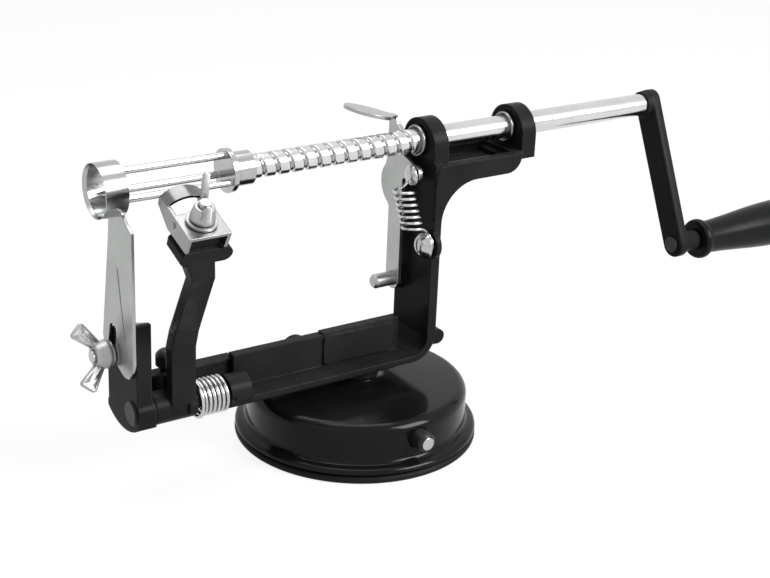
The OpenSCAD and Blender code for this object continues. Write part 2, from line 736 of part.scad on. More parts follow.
module peel_arm() {
    w = parm_w / 2;
    in_w = hold_w / 2 - hold_t - gap;
    block_x = hold_w / 2;
    block_z = -hold_d - 7.1;
    color("#1b1c1f") difference() {
        union() {
            xcyl(hub_r, hub_x0, hub_x1, -rod_y, rod_z);
            box([parm_x - w, parm_y, rod_z], [parm_x + w, parm_y + parm_t, knee_z + 0.2]);
            // heel that the spring's leg presses on
            box([parm_x - w, parm_y + parm_t - 1, rod_z + 3], [parm_x + w - 1.8, -rod_y + 2 - tor_wire / 2 - gap, rod_z + 13]);
            box([hub_x1 - 4, parm_y - 1.2, rod_z - 2], [hub_x1 - 0.6, parm_y + 4, rod_z + 2]);
            // the bent arm, station by station, and the neck under the blade holder
            for (i = [0:len(knee) - 2]) hull() for (k = [knee[i], knee[i + 1]])
                translate([parm_x + k[0], parm_y + k[1] + parm_t / 2, k[2]])
                    cube([parm_w - k[3], parm_t, 0.4], center = true);
            hull() {
                translate([parm_x + knee[4][0], parm_y + knee[4][1] + parm_t / 2, knee[4][2]])
                    cube([parm_w - knee[4][3], parm_t, 0.4], center = true);
                head() box([-6.2, 2.2, block_z + 2], [4.8, 11.8, block_z + 3]);
            }
            head() box([-in_w, 3, block_z + 4.5], [in_w, 11.5, -hold_t - gap]);
            head() box([0.4 - in_w, 10, block_z + 4], [in_w - 0.4, 16, -4.5]);
            // cross block below the holder's flanges, rounded at the right
            head() translate([0, 13, 0]) rotate([90, 0, 0]) linear_extrude(11.4) polygon(concat(
                [[0.8 - block_x, block_z + 6.1], [-0.3 - block_x, block_z + 5], [-0.3 - block_x, block_z + 1.4],
                [1.1 - block_x, block_z]], arc([block_x + 0.5, block_z + 3.05], 3.05, -90, 90, 8)));
        }
        xcyl(rod_r + run, hub_x0 - 1, hub_x1 + 1, -rod_y, rod_z);
        head() translate([0, slot_y, -9]) cylinder(r = bolt_r - 0.5, h = 20);
    }
}

module blade_stud() {
    color("#c9ccd0") head() translate([0, slot_y, -9]) cylinder(r = bolt_r - 0.5, h = 18);
}

module blade_washer() {
    color("#c9ccd0") head() translate([0, slot_y, gap]) difference() {
        cylinder(r = washer_r + 0.6, h = washer_t);
        translate([0, 0, -1]) cylinder(r = bolt_r - 0.5, h = 9);
    }
}

module blade_wing_nut() {
    color("#c9ccd0") head() translate([0, slot_y, gap + washer_t + gap]) rotate([0, 90, 0])
        wing_nut(bolt_r - 0.5, -66);
}

module blade_holder() {
    h = hold_w / 2;
    win0 = hold_l - 11;
    color("#c9ccd0") head() difference() {
        union() {
            box([-h, 0, -hold_t], [h, win0, 0]);
            for (s = [-1, 1]) translate([s * (h - hold_t / 2), 0, 0]) {
                translate([-hold_t / 2, 0, 0]) yz_plate(0, hold_t) polygon([[0, 0], [hold_l, 0],
                    [hold_l, -3.5], [hold_l - 9, -hold_d - 0.5], [0.8, -hold_d]]);
                xcyl(1.3, s > 0 ? 0 : -hold_t / 2 - 0.5, s > 0 ? hold_t / 2 + 0.5 : 0, 12, -3.5);
            }
        }
        for (y = [slot_y - slot_s, slot_y + slot_s]) translate([0, y, -9]) cylinder(r = bolt_r - 0.5 + gap, h = 20);
        box([-bolt_r + 0.5 - gap, slot_y - slot_s, -9], [bolt_r - 0.5 + gap, slot_y + slot_s, 9]);
    }
}

// Blade: a strip arched from side to side, with its edge over the window
module peel_blade() {
    h = hold_w / 2;
    rise = 3.2;
    r = (h * h + rise * rise) / (2 * rise);
    color("#d5d8db") head() translate([0, hold_l, 0]) rotate([90, 0, 0]) linear_extrude(blade_w) intersection() {
        translate([0, rise - r]) difference() {
            circle(r, $fn = 96);
            circle(r - hold_t + 0.2, $fn = 96);
        }
        translate([-h, 0]) square([2 * h, 20]);
    }
}

module slicer_plate() {
    f = -slice_w / 2;
    top = shaft_z - core_r - 0.8;
    lean = 0.2;
    color("#c2c5c8") difference() {
        yz_plate(slice_x0, slice_t) polygon([[f, bolt_z + 2], [f + 1.2, bolt_z - 1.5], [f + 4, bolt_z - 5],
            [f + 7, bolt_z - 5.6], [f + 10, bolt_z - 5], [slice_w / 2 - 1.5, bolt_z + 2],
            [slice_w / 2, bolt_z + 5], [slice_w / 4, top - 10.5], [5.5, top - 1], [4, top + 3], [-4, top + 3],
            [f + 4, top - 1], [f, top - 3]]);
        yz_plate(slice_x0 - 1, slice_t + 2) {
            polygon(bar([bolt_y + 2 * lean, bolt_z - 2], [bolt_y - 9.6 * lean, bolt_z + 9.6], slot_w));
            polygon(bar([f + 7, bolt_z + 10], [f + 12.2, bolt_z + 36], 0.45, 6));
        }
        xcyl(core_r + 0.8, slice_x0 - 9, slice_x1 + 9, 0, shaft_z);
    }
}

module coring_ring() {
    color("#d5d8db") translate([slice_x1, 0, shaft_z]) rotate([0, -90, 0]) difference() {
        cylinder(r1 = core_r + 0.8, r2 = core_r + 0.8, h = core_l, $fn = 72);
        translate([0, 0, -1]) cylinder(r = core_r, h = core_l + 2, $fn = 72);
        translate([0, 0, core_l - 1.5]) cylinder(r1 = core_r, r2 = core_r + 0.7, h = 1.6, $fn = 72);
    }
}

// Feed plate plan: pivot end, bulge, lug for the spring's post, neck
module feed_2d() {
    w = 4.4;
    f = feed_y - w;
    cz = shaft_z;
    c = shaft_r + 0.7;
    polygon(concat(arc([feed_y, feed_z], w, 180, 360, 14), [[feed_y + w, cz - 31]],
        arc([feed_y + 0.5, cz - 21], 10, -60, 44, 16), [[feed_y + 6.4, cz - 9.5], [feed_y + 6.4, cz + 7.4], [feed_y + 1.8, cz + 7.4], [feed_y + 0.8, cz + 4.6], [7.4, cz + 3.2],
        [c, cz + 2.6], [c, cz - 2.6], [7.4, cz - 4], [7.4, cz - 6]],
        arc(post, 3.4, 75, 255, 12), [[f - 1, cz - 16.3], [f, cz - 17.5]]));
}

module feed_plate() {
    color("#b4b7b9") {
        difference() {
            union() {
                yz_plate(feed_x0, feed_t) feed_2d();
                box([tooth_x - tooth_t / 2, shaft_r - groove_d + 0.2, shaft_z - 1.5],
                    [tooth_x + tooth_t / 2, shaft_r + 3, shaft_z + 1.5]);
            }
            xcyl(feed_r + run, feed_x0 - 1, feed_x1 + 1, feed_y, feed_z);
            xcyl(post_r, feed_x0 - 1, feed_x1 + 1, post[0], post[1]);
        }
        // thumb tab, bent over to the left and rising
        translate([feed_x1 - 0.1, feed_y + 4.6, shaft_z + 5.9]) rotate([0, 15, 0]) linear_extrude(feed_t - 0.4)
            polygon(concat(arc([tab_w / 2 - tab_l, 0], tab_w / 2, 28, 332, 40),
                [[-2.6, -3.1], [0, -2.7], [0, 1.6], [-2.6, 2]]));
    }
}

module spring_post() {
    x0 = top_x - ten_wire / 2 - gap;
    color("#c9ccd0") {
        xcyl(post_r, x0 - 0.6, feed_x1, post[0], post[1]);
        dome(4.4, 2, x0, post[0], post[1]);
    }
}

module cam_shaft() {
    y0 = wall_r + cam_out;
    color("#c9ccd0") {
        ycyl(cam_r, -y0 + 1.2, -eye_y - gap, 0, cam_z);
        ycyl(cam_r, eye_y + gap, lever_y + lever_t, 0, cam_z);
        ycyl(cam_pin, -eye_y - 2, eye_y + 2, cam_ecc, cam_z);
        translate([0, -y0 + 1.2, cam_z]) rotate([90, 0, 0]) cylinder(r1 = cam_r, r2 = cam_r - 1.2, h = 1.2);
    }
}

// Lever plan: hub at the origin, tapering to a rounded paddle
module lever_2d() {
    polygon(concat(arc([0, 0], cam_r + 3, 50, 310, 20), arc([lever_l - 3.6, 0], 3.6, -90, 90, 10)));
}

module suction_lever() {
    y0 = lever_y;
    off = max(2, base_r + gap - y0);
    color("#1b1c1f") translate([0, 0, cam_z]) rotate([0, lever_drop, 0]) difference() {
        union() {
            xz_plate(y0, y0 + lever_t) intersection() {
                lever_2d();
                translate([-20, -20]) square([20 + lever_l * 0.45, 40]);
            }
            xz_plate(y0 + off, y0 + off + lever_t) difference() {
                lever_2d();
                translate([-20, -20]) square([20 + lever_l * 0.3, 40]);
            }
            xz_plate(y0, y0 + off + lever_t) intersection() {
                lever_2d();
                translate([lever_l * 0.3, -20]) square([lever_l * 0.15, 40]);
            }
            xz_plate(y0 + off + 0.5, y0 + off + lever_t + 1.6)
                polygon(bar([lever_l - 17, 0], [lever_l - 4.4, 0], 3, 8));
        }
        ycyl(cam_r, y0 - 1, y0 + lever_t + 9);
    }
}

base_shell();
suction_pad();
frame();
arm_rod();
stop_screw();
slicer_bolt();
slicer_washer();
feed_pivot();
spring_screw();
feed_spring();
arm_spring();
bush_left();
bush_right();
feed_shaft();
fork();
crank_arm();
grip_spindle();
grip();
peel_arm();
blade_stud();
blade_holder();
peel_blade();
blade_washer();
blade_wing_nut();
slicer_plate();
coring_ring();
slicer_wing_nut();
feed_plate();
spring_post();
cam_shaft();
suction_lever();
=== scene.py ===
import math
import bpy
import numpy as np
from mathutils import Matrix, Vector


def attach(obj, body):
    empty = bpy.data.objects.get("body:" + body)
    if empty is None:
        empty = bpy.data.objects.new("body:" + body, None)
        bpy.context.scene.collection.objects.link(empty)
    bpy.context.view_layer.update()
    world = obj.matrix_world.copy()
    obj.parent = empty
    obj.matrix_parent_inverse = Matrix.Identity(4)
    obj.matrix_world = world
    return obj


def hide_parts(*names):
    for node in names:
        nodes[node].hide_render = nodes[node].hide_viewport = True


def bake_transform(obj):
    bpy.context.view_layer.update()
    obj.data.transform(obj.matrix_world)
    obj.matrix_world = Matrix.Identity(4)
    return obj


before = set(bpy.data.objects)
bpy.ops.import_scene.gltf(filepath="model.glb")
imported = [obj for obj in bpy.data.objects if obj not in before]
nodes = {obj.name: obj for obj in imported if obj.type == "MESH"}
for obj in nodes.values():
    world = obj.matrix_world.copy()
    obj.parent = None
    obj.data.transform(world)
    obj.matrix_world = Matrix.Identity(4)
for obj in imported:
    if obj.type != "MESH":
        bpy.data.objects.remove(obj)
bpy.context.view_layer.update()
scene = bpy.context.scene
mm = 0.001
print("frame loaded:", len(nodes), "nodes")

# camera where the photograph was taken from: yaw, pitch and roll in degrees
lens = {"place": (-0.33967, -0.50834, 0.31011), "yaw": 34.71, "pitch": 22.03, "roll": 2.42,
        "focal": 76.39, "sensor": 36, "near": 0.01}


def setCamera(v):
    # forward from yaw and pitch, then right and up turned about it by the roll
    a, e, r = (math.radians(v[k]) for k in ("yaw", "pitch", "roll"))
    fwd = Vector((math.sin(a) * math.cos(e), math.cos(a) * math.cos(e), -math.sin(e)))
    right = Vector((math.cos(a), -math.sin(a), 0))
    up = right.cross(fwd)
    right2 = right * math.cos(r) + up * math.sin(r)
    up2 = up * math.cos(r) - right * math.sin(r)
    cam = bpy.data.objects.new("camera", bpy.data.cameras.new("camera"))
    m = Matrix((right2, up2, -fwd)).transposed().to_4x4()
    m.translation = Vector(v["place"])
    cam.matrix_world = m
    cam.data.lens = v["focal"]
    cam.data.sensor_width = v["sensor"]
    cam.data.sensor_fit = "HORIZONTAL"
    cam.data.clip_start = v["near"]
    scene.collection.objects.link(cam)
    scene.camera = cam


setCamera(lens)
scene.view_settings.view_transform = "Standard"


# a small graph writer, then the shared effects as groups
class Graph:
    def __init__(self, tree):
        self.tree = tree

    def add(self, kind, **sets):
        # in_3 or in_Scale sets an input, anything else a setting of the node
        n = self.tree.nodes.new(kind)
        for k, v in sets.items():
            if k.startswith("in_"):
                n.inputs[int(k[3:]) if k[3:].isdigit() else k[3:]].default_value = v
            else:
                setattr(n, k, v)
        return n

    def wire(self, a, b):
        self.tree.links.new(a, b)

    def feed(self, n, pairs):
        # wires an output, or sets a plain value
        for i, x in pairs:
            if hasattr(x, "is_output"):
                self.wire(x, n.inputs[i])
            else:
                n.inputs[i].default_value = x

    def noise(self, vec, scale, detail, rough):
        n = self.add("ShaderNodeTexNoise", in_Scale=scale, in_Detail=detail, in_Roughness=rough)
        self.wire(vec, n.inputs["Vector"])
        return n.outputs["Fac"]

    def ramp(self, fac, lo, hi):
        n = self.add("ShaderNodeMapRange", clamp=True, in_1=lo, in_2=hi, in_3=0.0, in_4=1.0)
        self.wire(fac, n.inputs[0])
        return n.outputs[0]

    def math(self, op, a, b):
        n = self.add("ShaderNodeMath", operation=op)
        self.feed(n, enumerate((a, b)))
        return n.outputs[0]

    def blend(self, a, wa, b, wb):
        return self.math("ADD", self.math("MULTIPLY", a, wa), self.math("MULTIPLY", b, wb))

    def mix(self, fac, a, b):
        n = self.add("ShaderNodeMix", data_type="RGBA")
        self.feed(n, ((0, fac), (6, a), (7, b)))
        return n.outputs[2]


def newGroup(name, ins, outs):
    g = bpy.data.node_groups.new(name, "ShaderNodeTree")
    for label, kind, value in ins:
        s = g.interface.new_socket(name=label, in_out="INPUT", socket_type=kind)
        if value is not None:
            s.default_value = value
    for label, kind in outs:
        g.interface.new_socket(name=label, in_out="OUTPUT", socket_type=kind)
    w = Graph(g)
    return g, w, w.add("NodeGroupInput"), w.add("NodeGroupOutput")


floatSocket, colorSocket, vectorSocket = "NodeSocketFloat", "NodeSocketColor", "NodeSocketVector"
skinOuts = [("Color", colorSocket), ("Roughness", floatSocket), ("Height", floatSocket)]

# each noise is scale, detail and roughness; each cut is where its mask starts and where it is full
edgeWearAndSheenLook = {"samples": 6, "lean": (0.985, 0.80), "noise": (260, 4, 0.6), "cut": (0.42, 0.68)}
edgeWearAndSheenIns = [("Place", vectorSocket, None), ("Width", floatSocket, 0.0006), ("Amount", floatSocket, 0.5)]
edgeWearAndSheenOuts = [("Mask", floatSocket), ("Rounded", vectorSocket)]


def makeEdgeRub(v):
    # mask of worn edges and painted edge highlight: how far the rounded normal leans off the flat one, broken
    # up by noise
    g, w, i, o = newGroup("edgeRub", edgeWearAndSheenIns, edgeWearAndSheenOuts)
    bev = w.add("ShaderNodeBevel", samples=v["samples"])
    w.wire(i.outputs["Width"], bev.inputs["Radius"])
    geo = w.add("ShaderNodeNewGeometry")
    dot = w.add("ShaderNodeVectorMath", operation="DOT_PRODUCT")
    w.wire(bev.outputs[0], dot.inputs[0])
    w.wire(geo.outputs["Normal"], dot.inputs[1])
    lean = w.ramp(dot.outputs["Value"], *v["lean"])
    patch = w.ramp(w.noise(i.outputs["Place"], *v["noise"]), *v["cut"])
    w.wire(w.math("MULTIPLY", w.math("MULTIPLY", lean, patch), i.outputs["Amount"]), o.inputs["Mask"])
    w.wire(bev.outputs[0], o.inputs["Rounded"])
    return g


skinLook = {"drift": (38, 4, 0.55), "driftCut": (0.3, 0.7), "darker": (0.72, 0.72, 0.74, 1),
            "lighter": (1.18, 1.18, 1.17, 1), "haze": (95, 3, 0.6), "hazeCut": (0.35, 0.75),
            "ripple": (1150, 2, 0.5), "sand": (330, 3, 0.5), "heightParts": (0.45, 0.55)}
paintIns = [("Place", vectorSocket, None), ("Tone", colorSocket, (0.02, 0.02, 0.02, 1)),
            ("Bare", colorSocket, (0.1, 0.1, 0.1, 1)), ("Rub", floatSocket, 0.0),
            ("Gloss", floatSocket, 0.3), ("Spread", floatSocket, 0.1)]


def makePaintSkin(v):
    # sprayed enamel: slow drift of tone, a fine ripple, a few duller handled patches
    g, w, i, o = newGroup("paintSkin", paintIns, skinOuts)
    p = i.outputs["Place"]
    drift = w.mix(w.ramp(w.noise(p, *v["drift"]), *v["driftCut"]), v["darker"], v["lighter"])
    tint = w.add("ShaderNodeMix", data_type="RGBA", blend_type="MULTIPLY", in_0=1.0)
    w.wire(i.outputs["Tone"], tint.inputs[6])
    w.wire(drift, tint.inputs[7])
    # the edge mask mixes in a lighter colour: partly worn paint, partly painted highlight along the edges
    w.wire(w.mix(i.outputs["Rub"], tint.outputs[2], i.outputs["Bare"]), o.inputs["Color"])
    haze = w.ramp(w.noise(p, *v["haze"]), *v["hazeCut"])
    rough = w.math("ADD", i.outputs["Gloss"], w.math("MULTIPLY", haze, i.outputs["Spread"]))
    w.wire(rough, o.inputs["Roughness"])
    ripple, sand = w.noise(p, *v["ripple"]), w.noise(p, *v["sand"])
    hr, hs = v["heightParts"]
    w.wire(w.blend(ripple, hr, sand, hs), o.inputs["Height"])
    return g


grainLook = {"lines": (900, 3, 0.55), "cloud": (70, 4, 0.6), "cloudCut": (0.3, 0.72),
             "scuff": (420, 5, 0.7), "scuffCut": (0.6, 0.74),
             "toneParts": (0.55, 0.35), "roughParts": (0.6, 0.6), "heightParts": (0.7, 0.3)}
grainIns = [("Place", vectorSocket, None), ("Bright", colorSocket, (0.7, 0.7, 0.7, 1)),
            ("Dull", colorSocket, (0.5, 0.5, 0.5, 1)), ("Stretch", vectorSocket, (1, 1, 1)),
            ("Polish", floatSocket, 0.12), ("Spread", floatSocket, 0.12)]


def makeMetalGrain(v):
    # bright metal: faint cloud in the plating, fine lines stretched along one way, small scuffs
    g, w, i, o = newGroup("metalGrain", grainIns, skinOuts)
    p = i.outputs["Place"]
    drawn = w.add("ShaderNodeVectorMath", operation="MULTIPLY")
    w.wire(p, drawn.inputs[0])
    w.wire(i.outputs["Stretch"], drawn.inputs[1])
    lines = w.noise(drawn.outputs[0], *v["lines"])
    cloud = w.ramp(w.noise(p, *v["cloud"]), *v["cloudCut"])
    scuff = w.ramp(w.noise(p, *v["scuff"]), *v["scuffCut"])
    (tc, tl), (rl, rs), (hl, hs) = v["toneParts"], v["roughParts"], v["heightParts"]
    tone = w.blend(cloud, tc, lines, tl)
    w.wire(w.mix(tone, i.outputs["Bright"], i.outputs["Dull"]), o.inputs["Color"])
    spread = w.math("MULTIPLY", w.blend(lines, rl, scuff, rs), i.outputs["Spread"])
    w.wire(w.math("ADD", i.outputs["Polish"], spread), o.inputs["Roughness"])
    w.wire(w.blend(lines, hl, scuff, hs), o.inputs["Height"])
    return g


edgeRub, paintSkin, metalGrain = makeEdgeRub(edgeWearAndSheenLook), makePaintSkin(skinLook), makeMetalGrain(grainLook)
paintDepth, metalDepth = 0.0004, 0.0002  # how far the bump stands, in metres


def useGroup(w, group, place, **sets):
    n = w.add("ShaderNodeGroup")
    n.node_tree = group
    w.wire(place, n.inputs["Place"])
    w.feed(n, sets.items())
    return n


def startMaterial(name):
    m = bpy.data.materials.new(name)
    m.use_nodes = True
    w = Graph(m.node_tree)
    return m, w, m.node_tree.nodes["Principled BSDF"], w.add("ShaderNodeTexCoord").outputs["Object"]


def dress(w, shade, skin, color, wearAndSheen, strength, depth):
    # colour, roughness and a bump laid over the rounded normal
    bump = w.add("ShaderNodeBump", in_Strength=strength, in_Distance=depth)
    w.wire(skin.outputs["Height"], bump.inputs["Height"])
    w.wire(wearAndSheen.outputs["Rounded"], bump.inputs["Normal"])
    w.wire(color, shade.inputs["Base Color"])
    w.wire(skin.outputs["Roughness"], shade.inputs["Roughness"])
    w.wire(bump.outputs[0], shade.inputs["Normal"])


def paintMaterial(name, v):
    m, w, shade, place = startMaterial(name)
    wearAndSheen = useGroup(w, edgeRub, place, Width=v["round"], Amount=v["wearAndSheen"])
    skin = useGroup(w, paintSkin, place, Tone=v["tone"], Bare=v["bareAndSheen"], Rub=wearAndSheen.outputs["Mask"],
                    Gloss=v["gloss"], Spread=v["spread"])
    dress(w, shade, skin, skin.outputs["Color"], wearAndSheen, v["ripple"], paintDepth)
    shade.inputs["Specular IOR Level"].default_value = v["spec"]
    return m


def metalMaterial(name, v):
    m, w, shade, place = startMaterial(name)
    wearAndSheen = useGroup(w, edgeRub, place, Width=v["round"], Amount=0.0)
    skin = useGroup(w, metalGrain, place, Bright=v["bright"], Dull=v["dull"], Stretch=v["stretch"],
                    Polish=v["polish"], Spread=v["spread"])
    color = skin.outputs["Color"]
    # painted shade: the colour darkens towards the groove colour with the depth of the thread
    if "groove" in v:  # depth of the thread, kept as an attribute of the piece
        deep = w.add("ShaderNodeAttribute", attribute_name="groove")
        color = w.mix(deep.outputs["Fac"], color, v["groove"])
    dress(w, shade, skin, color, wearAndSheen, v["bump"], metalDepth)
    shade.inputs["Metallic"].default_value = 1.0
    return m


# the lighter edge colour and its amount stand for worn paint and for painted highlight along the edges
finishes = {
    "castBlack": {"tone": (0.0180, 0.0183, 0.0185, 1), "bareAndSheen": (0.075, 0.075, 0.077, 1), "wearAndSheen": 0.6,
                  "round": 0.0009, "gloss": 0.21, "spread": 0.15, "ripple": 0.08, "spec": 0.03},
    "baseBlack": {"tone": (0.0060, 0.0062, 0.0064, 1), "bareAndSheen": (0.05, 0.05, 0.052, 1), "wearAndSheen": 0.0,
                  "round": 0.0003, "gloss": 0.11, "spread": 0.07, "ripple": 0.035, "spec": 0.13},
    "darkRod": {"tone": (0.016, 0.0164, 0.017, 1), "bareAndSheen": (0.12, 0.12, 0.12, 1), "wearAndSheen": 0.6,
                "round": 0.0005, "gloss": 0.28, "spread": 0.2, "ripple": 0.05, "spec": 0.2},
    "padRubber": {"tone": (0.008, 0.008, 0.008, 1), "bareAndSheen": (0.02, 0.02, 0.02, 1), "wearAndSheen": 0.2,
                  "round": 0.0006, "gloss": 0.5, "spread": 0.2, "ripple": 0.14, "spec": 0.12},
    "gripBlack": {"tone": (0.011, 0.0113, 0.0113, 1), "bareAndSheen": (0.02, 0.02, 0.022, 1), "wearAndSheen": 0.2,
                  "round": 0.0006, "gloss": 0.20, "spread": 0.10, "ripple": 0.05, "spec": 0.07},
    "rivetDark": {"tone": (0.022, 0.0224, 0.023, 1), "bareAndSheen": (0.12, 0.12, 0.122, 1), "wearAndSheen": 0.7,
                  "round": 0.0005, "gloss": 0.30, "spread": 0.2, "ripple": 0.06, "spec": 0.3},
    "nickelBright": {"bright": (0.56, 0.565, 0.57, 1), "dull": (0.36, 0.365, 0.37, 1),
                     "stretch": (1, 1, 1), "polish": 0.13, "spread": 0.12, "round": 0.0004, "bump": 0.02},
    "zincPlate": {"bright": (0.54, 0.54, 0.535, 1), "dull": (0.20, 0.20, 0.20, 1),
                  "stretch": (1, 1, 1), "polish": 0.36, "spread": 0.22, "round": 0.0005, "bump": 0.06},
    "bushSatin": {"bright": (0.30, 0.302, 0.304, 1), "dull": (0.17, 0.172, 0.174, 1),
                  "stretch": (1, 1, 1), "polish": 0.26, "spread": 0.14, "round": 0.0003, "bump": 0.03},
    "pivotSatin": {"bright": (0.46, 0.463, 0.465, 1), "dull": (0.31, 0.312, 0.315, 1),
                   "stretch": (0.3, 2, 2), "polish": 0.34, "spread": 0.12, "round": 0.0004, "bump": 0.04},
    "shaftBright": {"bright": (0.74, 0.745, 0.75, 1), "dull": (0.54, 0.545, 0.55, 1),
                    "stretch": (2.4, 0.25, 0.25), "polish": 0.14, "spread": 0.10,
                    "round": 0.0003, "bump": 0.02,
                    "groove": (0.24, 0.242, 0.245, 1)},
    "wireBright": {"bright": (0.62, 0.625, 0.63, 1), "dull": (0.36, 0.365, 0.37, 1),
                   "stretch": (1, 1, 1), "polish": 0.16, "spread": 0.14, "round": 0.0002, "bump": 0.03},
    "sheetSteel": {"bright": (0.44, 0.452, 0.44, 1), "dull": (0.31, 0.32, 0.31, 1),
                   "stretch": (0.4, 3.0, 0.12), "polish": 0.26, "spread": 0.16,
                   "round": 0.0004, "bump": 0.05},
    "holderSteel": {"bright": (0.34, 0.35, 0.345, 1), "dull": (0.22, 0.225, 0.222, 1),
                    "stretch": (3.0, 0.4, 0.4), "polish": 0.24, "spread": 0.16,
                    "round": 0.0004, "bump": 0.05},
    "bladeSteel": {"bright": (0.20, 0.203, 0.206, 1), "dull": (0.10, 0.102, 0.104, 1),
                   "stretch": (3.0, 0.3, 0.3), "polish": 0.16, "spread": 0.14, "round": 0.0003, "bump": 0.03},
    "corerSteel": {"bright": (0.48, 0.485, 0.49, 1), "dull": (0.32, 0.325, 0.33, 1),
                   "stretch": (3.0, 0.3, 0.3), "polish": 0.15, "spread": 0.14, "round": 0.0003, "bump": 0.03},
}
made = {k: (paintMaterial if "tone" in v else metalMaterial)(k, v) for k, v in finishes.items()}
print("materials made:", len(made))

wears = {
    "castBlack": ["frame", "peel_arm", "crank_arm", "suction_lever"], "baseBlack": ["base_shell"],
    "darkRod": ["arm_rod", "stop_screw", "cam_shaft"], "padRubber": ["suction_pad"],
    "gripBlack": ["grip"], "rivetDark": ["grip_spindle"],
    "wireBright": ["arm_spring", "feed_spring"], "shaftBright": ["feed_shaft"],
    "nickelBright": ["slicer_bolt", "spring_screw", "spring_post", "blade_stud", "fork"],
    "zincPlate": ["blade_washer", "slicer_washer", "blade_wing_nut", "slicer_wing_nut"],
    "bushSatin": ["bush_left", "bush_right"], "pivotSatin": ["feed_pivot"],
    "sheetSteel": ["slicer_plate", "feed_plate"], "holderSteel": ["blade_holder"],
    "bladeSteel": ["peel_blade"], "corerSteel": ["coring_ring"],
}
for look, names in wears.items():
    for n in names:
        nodes[n].data.materials.clear()
        nodes[n].data.materials.append(made[look])
print("CAD nodes dressed")


# surfaces worked out on grids
def gridFaces(nu, nv, wrapU, wrapV):
    # quads of a nu by nv grid, u running first, wrapped round where asked
    u = np.arange(nu if wrapU else nu - 1)
    v = np.arange(nv if wrapV else nv - 1)
    a, b = np.meshgrid(u, v, indexing="ij")
    a2, b2 = (a + 1) % nu, (b + 1) % nv
    return np.stack([a * nv + b, a2 * nv + b, a2 * nv + b2, a * nv + b2], -1).reshape(-1, 4)


def closeEnds(points, nu, nv):
    # a fan to a middle point at each end of a tube whose rings run along v
    mid = np.stack([points[:nv].mean(0), points[-nv:].mean(0)])
    k = np.arange(nv)
    k2 = (k + 1) % nv
    n = nu * nv
    first = np.stack([k2, k, np.full(nv, n)], -1)
    last = np.stack([n - nv + k, n - nv + k2, np.full(nv, n + 1)], -1)
    return np.concatenate([points, mid]), [first, last]


def tubePart(points, nu, nv):
    # rings of nv points, one after another, as a closed shell facing outwards
    points, ends = closeEnds(points, nu, nv)
    return points, [gridFaces(nu, nv, False, True)[:, ::-1]] + ends


def meshPiece(name, points, faceSets, look, body):
    mesh = bpy.data.meshes.new(name)
    faces = [f for s in faceSets for f in s.tolist()]
    mesh.from_pydata(points.tolist(), [], faces)
    mesh.polygons.foreach_set("use_smooth", np.full(len(faces), True))
    mesh.materials.append(made[look])
    mesh.update()
    obj = bpy.data.objects.new(name, mesh)
    scene.collection.objects.link(obj)
    if body:  # a blended piece has no body of its own
        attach(obj, body)
    return obj


def turned(profile, count, origin, axis, ref):
    # profile of (along, radius) turned: p = o + along*axis + radius*(cos*ref + sin*(axis x ref))
    axis, ref = np.array(axis, float), np.array(ref, float)
    side = np.cross(axis, ref)
    t = np.linspace(0, 2 * np.pi, count, endpoint=False)
    ring = np.cos(t)[:, None] * ref + np.sin(t)[:, None] * side
    p = np.array(origin, float) + profile[:, None, :1] * axis + profile[:, None, 1:] * ring[None]
    return p.reshape(-1, 3)


def turnedPart(profile, count, origin, axis, ref):
    # closed solid of revolution: rings along the profile and a fan at each end
    return tubePart(turned(profile, count, origin, axis, ref), len(profile), count)


def ringPart(profile, count, origin, axis, ref):
    # solid of revolution with a hole: the profile is a closed loop, outside first along the axis
    faces = gridFaces(len(profile), count, True, True)[:, ::-1]
    return turned(profile, count, origin, axis, ref), [faces]


capInset = 0.35  # how far the fan of a slab's flat face starts inside its rounding
edgeRows = 6  # rows of a slab's rounding


def slabPart(outline, thick, rounding, origin, ea, eb):
    # flat slab with rounded edges: the outline, anticlockwise in ea and eb,
    # drawn in by q(1 - sin f) at height q(1 - cos f)
    ea, eb = np.array(ea, float), np.array(eb, float)
    f = np.radians(np.linspace(0, 90, edgeRows))
    inset = np.concatenate([[rounding + capInset], rounding * (1 - np.sin(f))])
    rise = np.concatenate([[0], rounding * (1 - np.cos(f))])
    inset = np.concatenate([inset, inset[::-1]])
    rise = np.concatenate([rise, thick - rise[::-1]])
    t = np.roll(outline, -1, 0) - np.roll(outline, 1, 0)
    normal = np.stack([t[:, 1], -t[:, 0]], 1) / np.linalg.norm(t, axis=1, keepdims=True)
    flat = outline[None] - inset[:, None, None] * normal[None]
    up = rise[:, None, None] * np.cross(ea, eb)
    p = np.array(origin, float) + flat[..., :1] * ea + flat[..., 1:] * eb + up
    return tubePart(p.reshape(-1, 3), len(rise), len(outline))


def joinParts(parts):
    # several closed shells as one list of points and faces
    start = np.cumsum([0] + [len(p) for p, _ in parts])
    faces = [f + n for (_, sets), n in zip(parts, start) for f in sets]
    return np.concatenate([p for p, _ in parts]), faces


def standIn(name, parts, look, body, node):
    points, faces = joinParts(parts)
    piece = meshPiece(name, points * mm, faces, look, body)
    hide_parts(node)
    return piece


def arcPoints(center, radius, a0, a1, n):
    a = np.radians(np.linspace(a0, a1, n))
    return np.array(center) + radius * np.stack([np.cos(a), np.sin(a)], 1)


def column(a):
    return np.asarray(a)[:, None]


wireSides = 16


def wirePart(path, radius, seed):
    # rings of a round wire square to the path; the ring's first direction is carried along without twist
    t = np.gradient(path, axis=0)
    t /= np.linalg.norm(t, axis=1, keepdims=True)
    n = np.empty_like(path)
    last = np.array(seed, float)
    for k in range(len(path)):
        last = last - t[k] * (last @ t[k])
        last /= np.linalg.norm(last)
        n[k] = last
    b = np.cross(t, n)
    a = np.linspace(0, 2 * np.pi, wireSides, endpoint=False)[None, :, None]
    p = path[:, None] + radius * (np.cos(a) * n[:, None] + np.sin(a) * b[:, None])
    return tubePart(p.reshape(-1, 3), len(path), wireSides)


